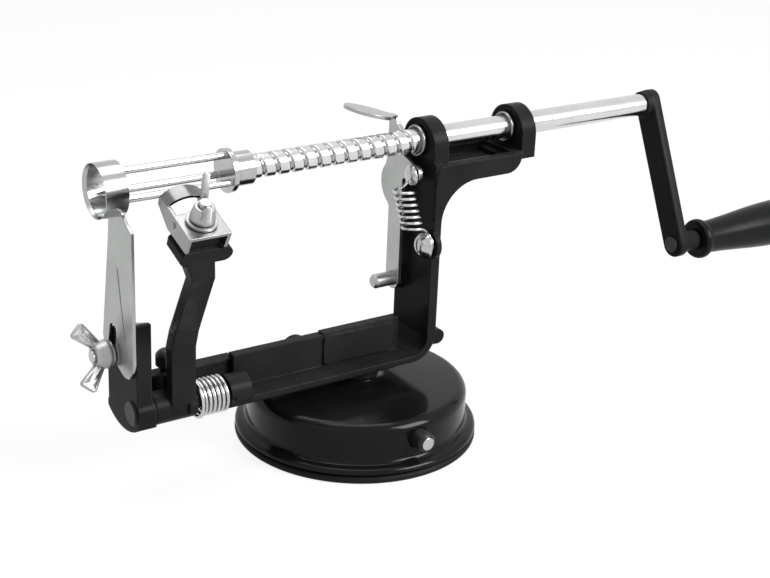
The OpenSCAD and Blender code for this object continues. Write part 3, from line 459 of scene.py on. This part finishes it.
# feed shaft: radius falls into a helical groove, x = start + pitch * angle / 2 pi
shaft = {"radius": 4.75, "axisZ": 121.5, "left": -59.0, "right": 150.2, "pitch": 6.1, "phase": 22.5,
         "width": 2.0, "depth": 0.9, "inset": 0.16, "soft": 0.13, "fadeLeft": 2.0, "fadeRight": 1.2,
         "threadLeft": -49.5, "threadRight": 23.5, "shade": 0.75, "around": 96, "rows": (12, 460, 40),
         "chamfer": ((0, 1.2), (0.01, 0.6), (0.6, 0))}  # along from the end, and off the radius


def buildShaft(v):
    # groove depth from the distance of each point to the helix, with soft shoulders and faded ends
    left, t0, t1 = v["left"], v["threadLeft"], v["threadRight"]
    plain, fine, rest = v["rows"]
    cone = np.array(v["chamfer"])
    x = np.concatenate([left + cone[:, 0], np.linspace(left + 1.2, t0 - 1.5, plain),
                        np.linspace(t0 - 1.2, t1 + 1.2, fine), np.linspace(t1 + 2, v["right"], rest)])
    base = np.full(len(x), v["radius"])
    base[:len(cone)] -= cone[:, 1]
    a = np.linspace(0, 2 * np.pi, v["around"], endpoint=False)
    d = (x[:, None] - v["phase"]) / v["pitch"] - a[None] / (2 * np.pi)
    d = np.abs(d - np.round(d)) * v["pitch"]
    cut = 1 / (1 + np.exp((d - v["width"] / 2 + v["inset"]) / v["soft"]))
    fade = np.clip((x - t0) / v["fadeLeft"], 0, 1) * np.clip((t1 - x) / v["fadeRight"], 0, 1)
    cut = cut * column(fade)
    r = base[:, None] - v["depth"] * cut
    p = np.stack([np.broadcast_to(x[:, None], r.shape), r * np.cos(a), v["axisZ"] + r * np.sin(a)], -1)
    tube = tubePart(p.reshape(-1, 3), len(x), v["around"])
    piece = standIn("threaded_shaft", [tube], "shaftBright", "shaft", "feed_shaft")
    # the groove depth is kept on the piece to paint shade into the thread
    deep = piece.data.attributes.new("groove", "FLOAT", "POINT")
    deep.data.foreach_set("value", np.append(cut.ravel() * v["shade"], [0, 0]))


buildShaft(shaft)

# torsion spring of the peeling arm: legs bent off a helix about the rod
torsion = {"axis": (-7.5, 35.2), "radius": 6.75, "wire": 1.5, "start": -79.45, "pitch": 1.852, "turns": 6.75,
           "lift": 1.3, "settle": 0.75, "leg": 9.0, "bend": 2.0, "perTurn": 48, "legRows": 12, "bendRows": 9}


def buildTorsion(v):
    # leg along X behind the arm, a quarter bend, the helix, and a last bend into the boss
    y0, z0 = v["axis"]
    top, q, r = v["radius"] + v["lift"], v["bend"], v["radius"]
    t = column(np.linspace(0, 1, v["legRows"]))
    leg = np.array([v["start"] - q - v["leg"], q, top]) + t * np.array([v["leg"], 0, 0])
    g = np.radians(column(np.linspace(90, 5, v["bendRows"])))
    bend = np.concatenate([v["start"] - q * np.sin(g), q * (1 - np.cos(g)), np.full_like(g, top)], 1)
    f = column(np.linspace(0, v["turns"], int(v["turns"] * v["perTurn"])))
    ease = np.clip(1 - f / v["settle"], 0, 1)
    rr = r + v["lift"] * ease * ease * (3 - 2 * ease)
    t = 2 * np.pi * f
    coil = np.concatenate([v["start"] + v["pitch"] * f, -rr * np.sin(t), rr * np.cos(t)], 1)
    g = np.radians(column(np.linspace(8, 90, v["bendRows"])))
    end = 2 * np.pi * v["turns"]
    tail = np.concatenate([v["start"] + v["pitch"] * v["turns"] + v["wire"] * (1 - np.cos(g)),
                           -r * np.sin(end) - v["wire"] * np.sin(g) * np.cos(end),
                           r * np.cos(end) - v["wire"] * np.sin(g) * np.sin(end)], 1)
    path = np.concatenate([leg[:-1], bend, coil[1:], tail]) + np.array([0, y0, z0])
    wire = wirePart(path, v["wire"] / 2, (0, 0, 1))
    piece = standIn("torsion_spring", [wire], "wireBright", None, "arm_spring")
    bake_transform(piece)


buildTorsion(torsion)

# tension spring of the feed plate: two end loops and the coils between them, leaning to the screw
# (leave is the angle where the wire leaves the low loop, leaveWay its direction there, across and along)
tension = {"low": (-10.3, 80.5), "high": (-4.0, 109.0), "lowX": 24.8, "highX": 20.7, "axisX": 16.1,
           "lean": 2.7, "radius": 4.2, "wire": 1.2, "loop": 3.4, "screw": 1.8, "post": 1.5, "gap": 0.3,
           "turns": 6.5, "lowRun": 6.9, "highRun": 4.4, "highBend": 2.6, "open": 239, "leave": -50,
           "leaveWay": (0.766, 0.643), "leavePull": 2.2, "joinPull": 3.2, "perTurn": 44,
           "lowRows": 50, "riseRows": 24, "bendRows": 14, "neckRows": 6, "highRows": 40}


def buildTension(v):
    # loop, a rise behind the head, the helix, then an elliptic quarter bend, neck and loop at the top
    lo2, hi2 = np.array(v["low"]), np.array(v["high"])
    d2 = (hi2 - lo2) / np.linalg.norm(hi2 - lo2)
    d, side = np.array([0, d2[0], d2[1]]), np.array([0, d2[1], -d2[0]])
    u = np.array([1.0, 0, 0])
    hold = v["loop"] - v["wire"] / 2 - v["gap"]
    lo = np.array([v["axisX"], *lo2]) + d * (hold - v["screw"])
    hi = np.array([v["axisX"], *hi2]) - d * (hold - v["post"])
    foot = lo + u * v["lean"]
    b0, b1 = v["lowX"] - foot[0], v["highX"] - v["axisX"]
    c0, c1, e1 = (v[k] for k in ("lowRun", "highRun", "highBend"))
    h = np.linalg.norm(hi - lo) - c0 - c1
    coilR, loopR = v["radius"], v["loop"]
    g = np.radians(np.linspace(v["open"], v["leave"], v["lowRows"]))
    low = foot + side * column(loopR - coilR - loopR * np.cos(g)) + u * b0 - d * column(loopR * np.sin(g))
    # the rise is a cubic curve, leaving the loop and joining the helix along their own ways
    first = foot - side * coilR + d * c0
    t = column(np.linspace(0, 1, v["riseRows"])[1:])
    ws, wd = v["leaveWay"]
    p1, p2 = low[-1] + v["leavePull"] * (ws * side + wd * d), first + v["joinPull"] * u
    s = 1 - t
    rise = s ** 3 * low[-1] + 3 * s ** 2 * t * p1 + 3 * s * t ** 2 * p2 + t ** 3 * first
    f = np.linspace(0, v["turns"], int(v["turns"] * v["perTurn"]))
    t = 2 * np.pi * f
    coil = (lo + d * column(c0 + h * f / v["turns"]) - side * column(coilR * np.cos(t))
            + u * column(v["lean"] * (1 - f / v["turns"]) - coilR * np.sin(t)))
    g = np.radians(np.linspace(2, 90, v["bendRows"]))
    bend = lo + side * coilR + u * column(b1 * np.sin(g)) + d * column(c0 + h + e1 * (1 - np.cos(g)))
    up = np.linspace(c0 + h + e1, c0 + h + c1 - 0.3, v["neckRows"])[1:]
    neck = lo + side * coilR + u * b1 + d * column(up)
    g = np.radians(np.linspace(4, v["open"], v["highRows"]))
    high = (lo + side * column(coilR - loopR + loopR * np.cos(g)) + u * b1
            + d * column(c0 + h + c1 + loopR * np.sin(g)))
    path = np.concatenate([low, rise, coil[1:-1], bend, neck, high])
    wire = wirePart(path, v["wire"] / 2, (1, 0, 0.01))
    piece = standIn("tension_spring", [wire], "wireBright", None, "feed_spring")
    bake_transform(piece)


buildTension(tension)
print("shaft and springs made")

# rubber pad under the base: flat face, soft lip, a bead where the shell sits, a boss in the middle
pad = {"radius": 50.0, "height": 4.0, "round": 1.6, "boss": 4.0, "bossR": 8.0, "around": 160, "rows": 20,
       "lipRows": 14}


def buildPad(v):
    # profile from the middle of the flat face, round the lip and in under the shell, turned about Z
    rad, high, q, boss, bossR = (v[k] for k in ("radius", "height", "round", "boss", "bossR"))
    g = np.radians(np.linspace(-90, 90, v["lipRows"]))
    flat = np.stack([np.zeros(v["rows"]), np.linspace(0.5, rad - q - 0.4, v["rows"])], 1)
    rim = np.stack([np.clip(q + q * np.sin(g), 0, high), rad - q + q * np.cos(g)], 1)
    top = np.array([[high - 0.6, rad - 2.2], [high - 0.15, rad - 2.8], [high - 0.05, rad - 4.5],
                    [high - 0.05, 40], [high - 0.2, 20], [high, 9], [high + boss, bossR], [high + boss, 0.5]])
    prof = np.concatenate([flat, rim, top])
    disc = turnedPart(prof, v["around"], (0, 0, 0), (0, 0, 1), (1, 0, 0))
    standIn("rubber_pad", [disc], "padRubber", "stand", "suction_pad")


buildPad(pad)
print("pad made")

# base: low dome with a soft shoulder, a wall with two holes for the cam shaft, and a rim over the pad;
# hollow below. Around a hole, half is the rows left open each way and reach the rows drawn out, step apart
baseForm = {"radius": 49.9, "wall": 45.5, "low": 4.1, "rim": 6.3, "top": 24.0, "seat": 26.0, "seatR": 8.6,
            "flat": 12.5, "shoulder": 4.2, "flare": 2.4, "edge": 1.9, "thick": 2.6, "sag": 0.9,
            "pinZ": 15.6, "hole": 4.15, "step": 0.7, "half": 5, "reach": 7, "between": 72,
            "domeRows": 26, "shoulderRows": 14, "flareRows": 12, "edgeRows": 10}


def baseProfile(v):
    # (height, radius) from the seat out over the dome, down the wall, round the rim and up the inside;
    # also the wall alone, and the two rows level with the pin
    w, top, q, f, e = (v[k] for k in ("wall", "top", "shoulder", "flare", "edge"))
    inn, roof, turn = w - v["thick"], top - v["thick"], top - v["sag"] - q
    rad, low, seatR = v["radius"], v["low"], v["seatR"]
    seat = np.array([[v["seat"], 0.3], [v["seat"], seatR - 0.6], [v["seat"] - 0.3, seatR],
                     [top + 1.0, seatR + 0.4], [top + 0.35, seatR + 1.3], [top + 0.08, seatR + 2.6]])
    r = np.linspace(v["flat"], w - q, v["domeRows"])
    dome = np.stack([top - v["sag"] * ((r - v["flat"]) / (w - q - v["flat"])) ** 2, r], 1)
    rows = v["pinZ"] + v["step"] * np.arange(v["reach"], -v["reach"] - 1, -1)
    wall = np.stack([rows, w - q + np.sqrt(q * q - np.clip(rows - turn, 0, None) ** 2)], 1)
    a0 = math.degrees(math.asin((rows[0] - turn) / q)) + 4
    a = np.radians(np.linspace(82, a0, v["shoulderRows"]))
    shoulder = np.stack([turn + q * np.sin(a), w - q + q * np.cos(a)], 1)
    a = np.radians(np.linspace(180, 262, v["flareRows"]))
    flare = np.stack([v["rim"] + f + 0.3 + f * np.sin(a), w + f + f * np.cos(a)], 1)
    a = np.radians(np.linspace(80, 0, v["edgeRows"]))
    edge = np.stack([v["rim"] - e + e * np.sin(a), rad - e + e * np.cos(a)], 1)
    under = np.array([[low + 0.05, rad - 0.1], [low, rad - 0.4], [low, inn + 0.3], [low + 0.4, inn]])
    rows = v["pinZ"] + v["step"] * np.arange(-2 * v["reach"], v["reach"] + 1)
    inside = np.stack([rows, np.full(len(rows), inn)], 1)
    ceiling = np.array([[roof - 0.5, inn - 0.4], [roof - 0.35, inn - 1.5], [roof - 0.2, inn - 8],
                        [roof, v["flat"]], [roof, 0.3]])
    parts = [seat, dome, shoulder, wall, flare, edge, under, inside, ceiling]
    starts = np.cumsum([len(x) for x in parts])
    return np.concatenate(parts), wall, starts[2] + v["reach"], starts[6] + 2 * v["reach"]


def buildBase(v):
    # turned profile with closer columns at the pin; there the squares about the pin are drawn out
    # to a circle and the middle is left open
    prof, wall, outer, inner = baseProfile(v)
    n, k, c = v["half"], v["reach"], v["pinZ"]
    fine = np.arange(-k, k + 1) * v["step"] / v["wall"]
    t = np.concatenate([fine, np.linspace(fine[-1], np.pi + fine[0], v["between"] + 2)[1:-1]])
    halfWay = len(t)
    t = np.concatenate([t, t + np.pi]) + np.pi / 2
    nu, nv = len(prof), len(t)
    z, r = prof[:, :1], prof[:, 1:]
    p = np.stack([r * np.cos(t), -r * np.sin(t), np.broadcast_to(z, (nu, nv))], -1)
    keep = np.ones((nu - 1, nv), bool)
    i, j = np.meshgrid(np.arange(-k, k + 1), np.arange(-k, k + 1), indexing="ij")
    m = np.maximum(abs(i), abs(j)) / n
    ease = np.clip((m - 1) / (k / n - 1), 0, 1)
    run, end = np.arange(-n, n), np.full(2 * n, n)
    loopI = np.concatenate([-end, run, end, -run])
    loopJ = np.concatenate([run, end, -run, -end])
    sides = []
    for col in (k, halfWay + k):
        for row in (outer, inner):
            at = p[row + i, col + j]
            x, z = at[..., 0], at[..., 2] - c
            s = (1 - ease) * v["hole"] * m / np.maximum(np.hypot(x, z), 1e-6) + ease
            x, z = x * s, c + z * s
            r = np.interp(z, wall[::-1, 0], wall[::-1, 1]) if row == outer else v["wall"] - v["thick"]
            y = np.sign(at[..., 1]) * np.sqrt(r * r - x * x)
            p[row + i, col + j] = np.where((m >= 1)[..., None], np.stack([x, y, z], -1), at)
            keep[row - n:row + n, col - n:col + n] = False
        far, near = (outer + loopI) * nv + col + loopJ, (inner - loopI) * nv + col + loopJ
        sides.append(np.stack([far, np.roll(far, -1), np.roll(near, -1), near], -1))
    points, (skin, *ends) = tubePart(p.reshape(-1, 3), nu, nv)
    faces = [skin[keep.ravel()]] + ends + sides
    used = np.unique(np.concatenate([f.ravel() for f in faces]))  # points of the open squares drop out
    slim = np.zeros(len(points), int)
    slim[used] = np.arange(len(used))
    shell = points[used], [slim[f] for f in faces]
    standIn("base_dome", [shell], "baseBlack", "stand", "base_shell")


buildBase(baseForm)
print("base made")

# grip: collar, neck and a long swell with a round end, bored for its spindle
gripForm = {"start": 159.5, "place": (-26.2577, 64.6731), "length": 80.0, "swell": 10.2, "neck": 7.2,
            "collar": 8.8, "collarLow": 7.3, "collarHalf": 2.1, "swellStart": 6.0, "widest": 0.62,
            "roundFrom": 0.72, "power": 1.6, "face": 6.6, "dip": ((4.5, 7.18), (5.2, 7.12)), "bore": 3.05,
            "boreDepth": 57.0, "around": 96, "collarRows": 18, "swellRows": 40, "endRows": 30}


def buildGrip(v):
    # radius along the grip: collar as half an ellipse, then neck + (swell - neck) * sin^power,
    # closed by a quarter ellipse
    bore, deep, c0, c1, s0 = (v[k] for k in ("bore", "boreDepth", "collarLow", "collarHalf", "swellStart"))
    inside = np.array([[deep, 0.2], [deep, bore], [0.7, bore], [0.2, bore + 0.25], [0, bore + 0.7],
                       [0, v["face"]]])
    a = np.radians(np.linspace(180, 12, v["collarRows"]))
    collar = np.stack([c1 + c1 * np.cos(a), c0 + (v["collar"] - c0) * np.sin(a) ** 0.8], 1)
    q = v["roundFrom"]
    a = np.radians(np.linspace(1, 90, v["endRows"]))
    t = np.concatenate([np.linspace(0, q - 0.02, v["swellRows"]), q + (1 - q) * np.sin(a)])
    s = np.sin(np.pi / 2 * np.minimum(1, t / v["widest"])) ** v["power"]
    e = np.sqrt(np.clip(1 - (np.clip(t - q, 0, 1) / (1 - q)) ** 2, 0, 1))
    swell = np.maximum(0.05, (v["neck"] + (v["swell"] - v["neck"]) * s) * e)
    swell = np.stack([s0 + (v["length"] - s0) * t, swell], 1)
    prof = np.concatenate([inside, collar, np.array(v["dip"]), swell])
    form = turnedPart(prof, v["around"], (v["start"], *v["place"]), (1, 0, 0), (0, 1, 0))
    standIn("smooth_grip", [form], "gripBlack", "grip", "grip")


buildGrip(gripForm)

# crank: flat cast arm with rounded edges, a collar at the shaft and a boss for the spindle
crank = {"hub": (143.6, 0.0, 121.5), "slant": 24.8, "reach": 62.6, "width": 12.0, "step": 2.4,
         "thick": 4.8, "edge": 1.0, "corner": 4.8, "cornerZ": 1.1, "collar": 5.6, "boss": 4.5,
         "bossFoot": 5.2, "bossEnd": 15.6, "around": 64, "endRows": 33, "cornerRows": 14}


def buildCrank(v):
    # arm: rounded outline in the plane of the turn, made a slab; collar and boss turned about X
    a = math.radians(v["slant"])
    across, along = (0, math.cos(a), -math.sin(a)), (0, math.sin(a), math.cos(a))
    hub = np.array(v["hub"])
    pin = hub - v["reach"] * np.array(along)
    half, c, cz, n = v["width"] / 2, v["corner"], v["cornerZ"], v["cornerRows"]
    outline = np.concatenate([arcPoints((0, -v["reach"]), half - 0.2, 180, 360, v["endRows"]),
                              arcPoints((half - c, cz), c, 0, 90, n),
                              arcPoints((c - half, cz), c, 90, 180, n)])
    arm = slabPart(outline, v["thick"], v["edge"], hub + (v["step"], 0, 0), across, along)
    r, b, g, e = v["collar"], v["boss"], v["bossFoot"], v["bossEnd"]
    collar = np.array([[0, 0.2], [0, r - 0.8], [0, r - 0.5], [0.15, r - 0.15], [0.5, r], [2.0, r],
                       [2.4, r + 0.2], [3.0, r + 0.2], [3.0, 0.2]])
    boss = np.array([[4.0, 0.2], [4.0, g], [7.2, g], [7.35, g - 0.2], [7.7, g - 0.45], [8.4, b],
                     [e - 0.5, b], [e - 0.15, b - 0.15], [e, b - 0.5], [e, b - 0.9], [e, 0.2]])
    standIn("cast_crank", [arm, turnedPart(collar, v["around"], hub, (1, 0, 0), (0, 1, 0)),
                           turnedPart(boss, v["around"], pin, (1, 0, 0), (0, 1, 0))],
            "castBlack", "shaft", "crank_arm")


buildCrank(crank)
print("grip and crank made")

# wing nuts: tapered hub with a hole, and two square-ended wings
nutForm = {"high": 5.6, "tip": (9.2, 9.7), "rootAlong": 3.2, "rootHalf": 2.0, "tipHalf": 2.1, "corner": 1.25,
           "thick": 2.3, "edge": 0.65, "around": 64, "cornerRows": 8, "rootRows": 5}
slicerNut = {"seat": (-108.1, 6.0, 55.0), "axis": (-1, 0, 0), "wing": (0, 0.42262, 0.90631), "bore": 2.5}
bladeNut = {"seat": (-94.9, -44.6455, 122.2930), "axis": (0, -0.37461, 0.92718),
            "wing": (0.40674, 0.84701, 0.34221), "bore": 2.0}


def buildWingNut(name, v, w, body, node):
    # hub: loop of (along, radius) turned; wing: quad leaning out from the hub, its far corners rounded
    r, h = v["bore"], w["high"]
    hub = np.array([[0, r * 2.0], [0.12, r * 2.2], [0.5, r * 2.27], [1.3, r * 2.2], [h - 0.7, r * 1.86],
                    [h - 0.2, r * 1.76], [h, r * 1.6], [h, r * 1.36], [h - 0.15, r * 1.2], [h - 0.6, r + 0.08],
                    [0.5, r + 0.08], [0.1, r * 1.2], [0, r * 1.5]])
    axis, out = np.array(v["axis"], float), np.array(v["wing"], float)
    root, tip = np.array([w["rootAlong"], r * 1.2]), np.array(w["tip"])
    d = (tip - root) / np.linalg.norm(tip - root)
    n = np.array([-d[1], d[0]])
    g = math.degrees(math.atan2(d[1], d[0]))
    c, tn, rn, k = w["corner"], w["tipHalf"] * n, w["rootHalf"] * n, w["cornerRows"]
    edge = np.concatenate([arcPoints(tip + d - tn, c, g - 90, g, k),
                           arcPoints(tip + d + tn, c, g, g + 90, k),
                           np.linspace(root + 0.9 * d + rn, root + 1.9 * d - rn, w["rootRows"])])
    parts = [ringPart(hub, w["around"], v["seat"], v["axis"], v["wing"])]
    for way in (out, -out):
        start = np.array(v["seat"]) - w["thick"] / 2 * np.cross(axis, way)
        parts.append(slabPart(edge, w["thick"], w["edge"], start, axis, way))
    standIn(name, parts, "zincPlate", body, node)


buildWingNut("slicer_wings", slicerNut, nutForm, "slicer_nut", "slicer_wing_nut")
buildWingNut("blade_wings", bladeNut, nutForm, "blade_nut", "blade_wing_nut")

# stop screw: domed head with a knurled band
stopScrew = {"place": (-85.0, 3.8, 44.0), "shank": 2.2, "head": 4.1, "headLow": 2.0, "headHigh": 6.5,
             "dome": 4.52, "domeLow": 1.9, "domeRise": 2.6, "ribs": 30, "slant": 2.2, "depth": 0.34,
             "fade": 0.4, "around": 240, "bandRows": 12, "domeRows": 16}


def buildStopScrew(v):
    # radius of the head less depth * (1 + cos(ribs * angle + slant * height)) / 2 in the knurled band
    lo, hi = v["headLow"], v["headHigh"]
    z = np.concatenate([[0, 0.01], [lo - 0.01, lo, lo + 0.1, lo + 0.4],
                        np.linspace(lo + 0.7, hi - 0.4, v["bandRows"]),
                        hi + np.linspace(0, v["domeRise"], v["domeRows"])])
    ball = np.sqrt(np.clip(v["dome"] ** 2 - (z - hi + v["domeLow"]) ** 2, 0.04, None))
    r = np.where(z < lo, v["shank"], np.where(z > hi - 0.3, np.minimum(v["head"], ball), v["head"]))
    r[[0, 3, 4]] = 0.3, v["head"] - 0.8, v["head"] - 0.3
    a = np.linspace(0, 2 * np.pi, v["around"], endpoint=False)
    q = v["fade"]
    band = np.clip((z - lo - q) / q, 0, 1) * np.clip((hi + 0.1 - z) / q, 0, 1)
    knurl = 0.5 + 0.5 * np.cos(v["ribs"] * a + v["slant"] * (z[:, None] - lo))
    rr = r[:, None] - v["depth"] * band[:, None] * knurl
    x0, y0, z0 = v["place"]
    p = np.stack([x0 + rr * np.cos(a), y0 + rr * np.sin(a), np.broadcast_to(z0 + z[:, None], rr.shape)], -1)
    screw = tubePart(p.reshape(-1, 3), len(z), len(a))
    standIn("knurled_screw", [screw], "darkRod", "stand", "stop_screw")


buildStopScrew(stopScrew)

# cam shaft: dark pin with a chamfer, its middle offset into the pad's eye, a bright face at the front
camPin = {"front": -52.2, "back": 50.9, "height": 15.6, "radius": 4.0, "gap": 4.5, "offset": 1.5,
          "neck": 2.4, "overlap": 1.7, "face": 2.6, "proud": 0.10, "sunk": 0.3, "around": 64, "neckAround": 48}


def buildCamPin(v):
    # three turned lengths along Y; the face is a thin disc with a soft edge
    r, f, b, q, k, z = (v[name] for name in ("radius", "front", "back", "gap", "neck", "height"))
    y, x = (0, 1, 0), (1, 0, 0)
    nose = np.array([[0, 0.2], [0, r - 1.5], [0.1, r - 1.25], [1.0, r - 0.12], [1.3, r], [1.8, r],
                     [-f - q, r], [-f - q, 0.2]])
    tail = np.array([[0, 0.2], [0, r], [b - q - 0.6, r], [b - q - 0.1, r - 0.5], [b - q, r - 0.9],
                     [b - q, 0.2]])
    size, n = 2 * q + 2 * v["overlap"], v["around"]
    neck = np.array([[0, 0.2], [0, k], [size, k], [size, 0.2]])
    parts = [turnedPart(nose, n, (0, f, z), y, x), turnedPart(tail, n, (0, q, z), y, x),
             turnedPart(neck, v["neckAround"], (v["offset"], -q - v["overlap"], z), y, x)]
    standIn("cam_pin", parts, "darkRod", "lever", "cam_shaft")
    d, up, low = v["face"], v["proud"], v["sunk"]
    face = np.array([[-up, 0.1], [-up, d - 0.35], [-up + 0.02, d - 0.15], [0.0, d], [low, d], [low, 0.1]])
    points, faces = turnedPart(face, n, (0, f, z), y, x)
    meshPiece("cam_face", points * mm, faces, "nickelBright", "lever")


buildCamPin(camPin)

# bushes: sleeve with a thin flange, hollowed towards the shaft
bushForm = {"faces": {"bush_left": 23.7, "bush_right": 67.7}, "axisZ": 121.5, "flange": 6.3, "thick": 1.9,
            "bore": 4.8, "sleeve": 5.7, "end": 9.2, "around": 72}


def buildBushes(v):
    # loop: flange face, rim, back of the flange, sleeve, and back along the bore
    f, t, b, s, e = (v[k] for k in ("flange", "thick", "bore", "sleeve", "end"))
    loop = np.array([[0.7, b + 0.35], [0.1, b + 0.75], [0, b + 0.95], [0, f - 0.5], [0.15, f - 0.15],
                     [0.5, f], [t - 0.3, f], [t, f - 0.3], [t, s + 0.1], [t + 0.1, s], [e - 0.1, s],
                     [e, s - 0.1], [e, b + 0.1], [e - 0.1, b], [0.9, b]])
    for node, x in v["faces"].items():
        ring = ringPart(loop, v["around"], (x, 0, v["axisZ"]), (1, 0, 0), (0, 1, 0))
        standIn(node + "_turned", [ring], "bushSatin", "bushes", node)


buildBushes(bushForm)
print("nuts, screws and bushes made")

# floor and light: pale floor that stays white to the camera and to reflections, and keeps the shadow
studio = {"floor": 0.42, "shadowKept": 0.30, "glow": 1.26, "world": 0.16, "white": 1.0,
          "across": (-6, 6), "deep": (-4, 8), "cells": 60}
white = (1, 1, 1, 1)


def whiteForEyes(w, light, seen, place):
    # camera, glossy and transmission rays meet the second shader, all other rays the first
    lp = w.add("ShaderNodeLightPath")
    s = w.math("MAXIMUM", lp.outputs["Is Camera Ray"], lp.outputs["Is Glossy Ray"])
    m = w.add("ShaderNodeMixShader")
    w.wire(w.math("MAXIMUM", s, lp.outputs["Is Transmission Ray"]), m.inputs[0])
    w.wire(light, m.inputs[1])
    w.wire(seen, m.inputs[2])
    w.wire(m.outputs[0], place)


def buildFloor(v):
    # flat grid at z = 0
    n = v["cells"]
    x, y = np.meshgrid(np.linspace(*v["across"], n), np.linspace(*v["deep"], n), indexing="ij")
    p = np.stack([x, y, np.zeros_like(x)], -1).reshape(-1, 3)
    mesh = bpy.data.meshes.new("floor")
    mesh.from_pydata(p.tolist(), [], gridFaces(n, n, False, False).tolist())
    floor = bpy.data.objects.new("floor", mesh)
    scene.collection.objects.link(floor)
    m = bpy.data.materials.new("paleFloor")
    m.use_nodes = True
    w = Graph(m.node_tree)
    m.node_tree.nodes.remove(m.node_tree.nodes["Principled BSDF"])
    matt = w.add("ShaderNodeBsdfDiffuse", in_Color=(v["floor"],) * 3 + (1,))
    glow = w.add("ShaderNodeEmission", in_Color=white, in_Strength=v["glow"])
    both = w.add("ShaderNodeMixShader", in_0=1 - v["shadowKept"])
    w.wire(matt.outputs[0], both.inputs[1])
    w.wire(glow.outputs[0], both.inputs[2])
    out = m.node_tree.nodes["Material Output"]
    whiteForEyes(w, matt.outputs[0], both.outputs[0], out.inputs["Surface"])
    mesh.materials.append(m)


def buildWorld(v):
    world = bpy.data.worlds.new("studio")
    scene.world = world
    world.use_nodes = True
    w = Graph(world.node_tree)
    light = world.node_tree.nodes["Background"]
    light.inputs["Color"].default_value = white
    light.inputs["Strength"].default_value = v["world"]
    seen = w.add("ShaderNodeBackground", in_Color=white, in_Strength=v["white"])
    out = world.node_tree.nodes["World Output"]
    whiteForEyes(w, light.outputs[0], seen.outputs[0], out.inputs["Surface"])


buildFloor(studio)
buildWorld(studio)

lamps = {
    "keyLight": {"place": (0.60, -1.0, 0.80), "size": 0.7, "power": 26, "aim": (0.03, 0, 0.06)},
    "topLight": {"place": (0.05, 0.25, 1.3), "size": 0.9, "power": 9, "aim": (0.0, 0, 0.06)},
    "leftLight": {"place": (-1.1, -0.5, 0.6), "size": 0.6, "power": 0.25, "aim": (-0.05, 0, 0.08)},
}
for name, v in lamps.items():
    data = bpy.data.lights.new(name, "AREA")
    data.energy, data.size = v["power"], v["size"]
    lamp = bpy.data.objects.new(name, data)
    lamp.location = v["place"]
    lamp.rotation_mode = "QUATERNION"
    lamp.rotation_quaternion = (Vector(v["aim"]) - Vector(v["place"])).to_track_quat("-Z", "Y")
    scene.collection.objects.link(lamp)
print("studio lit")
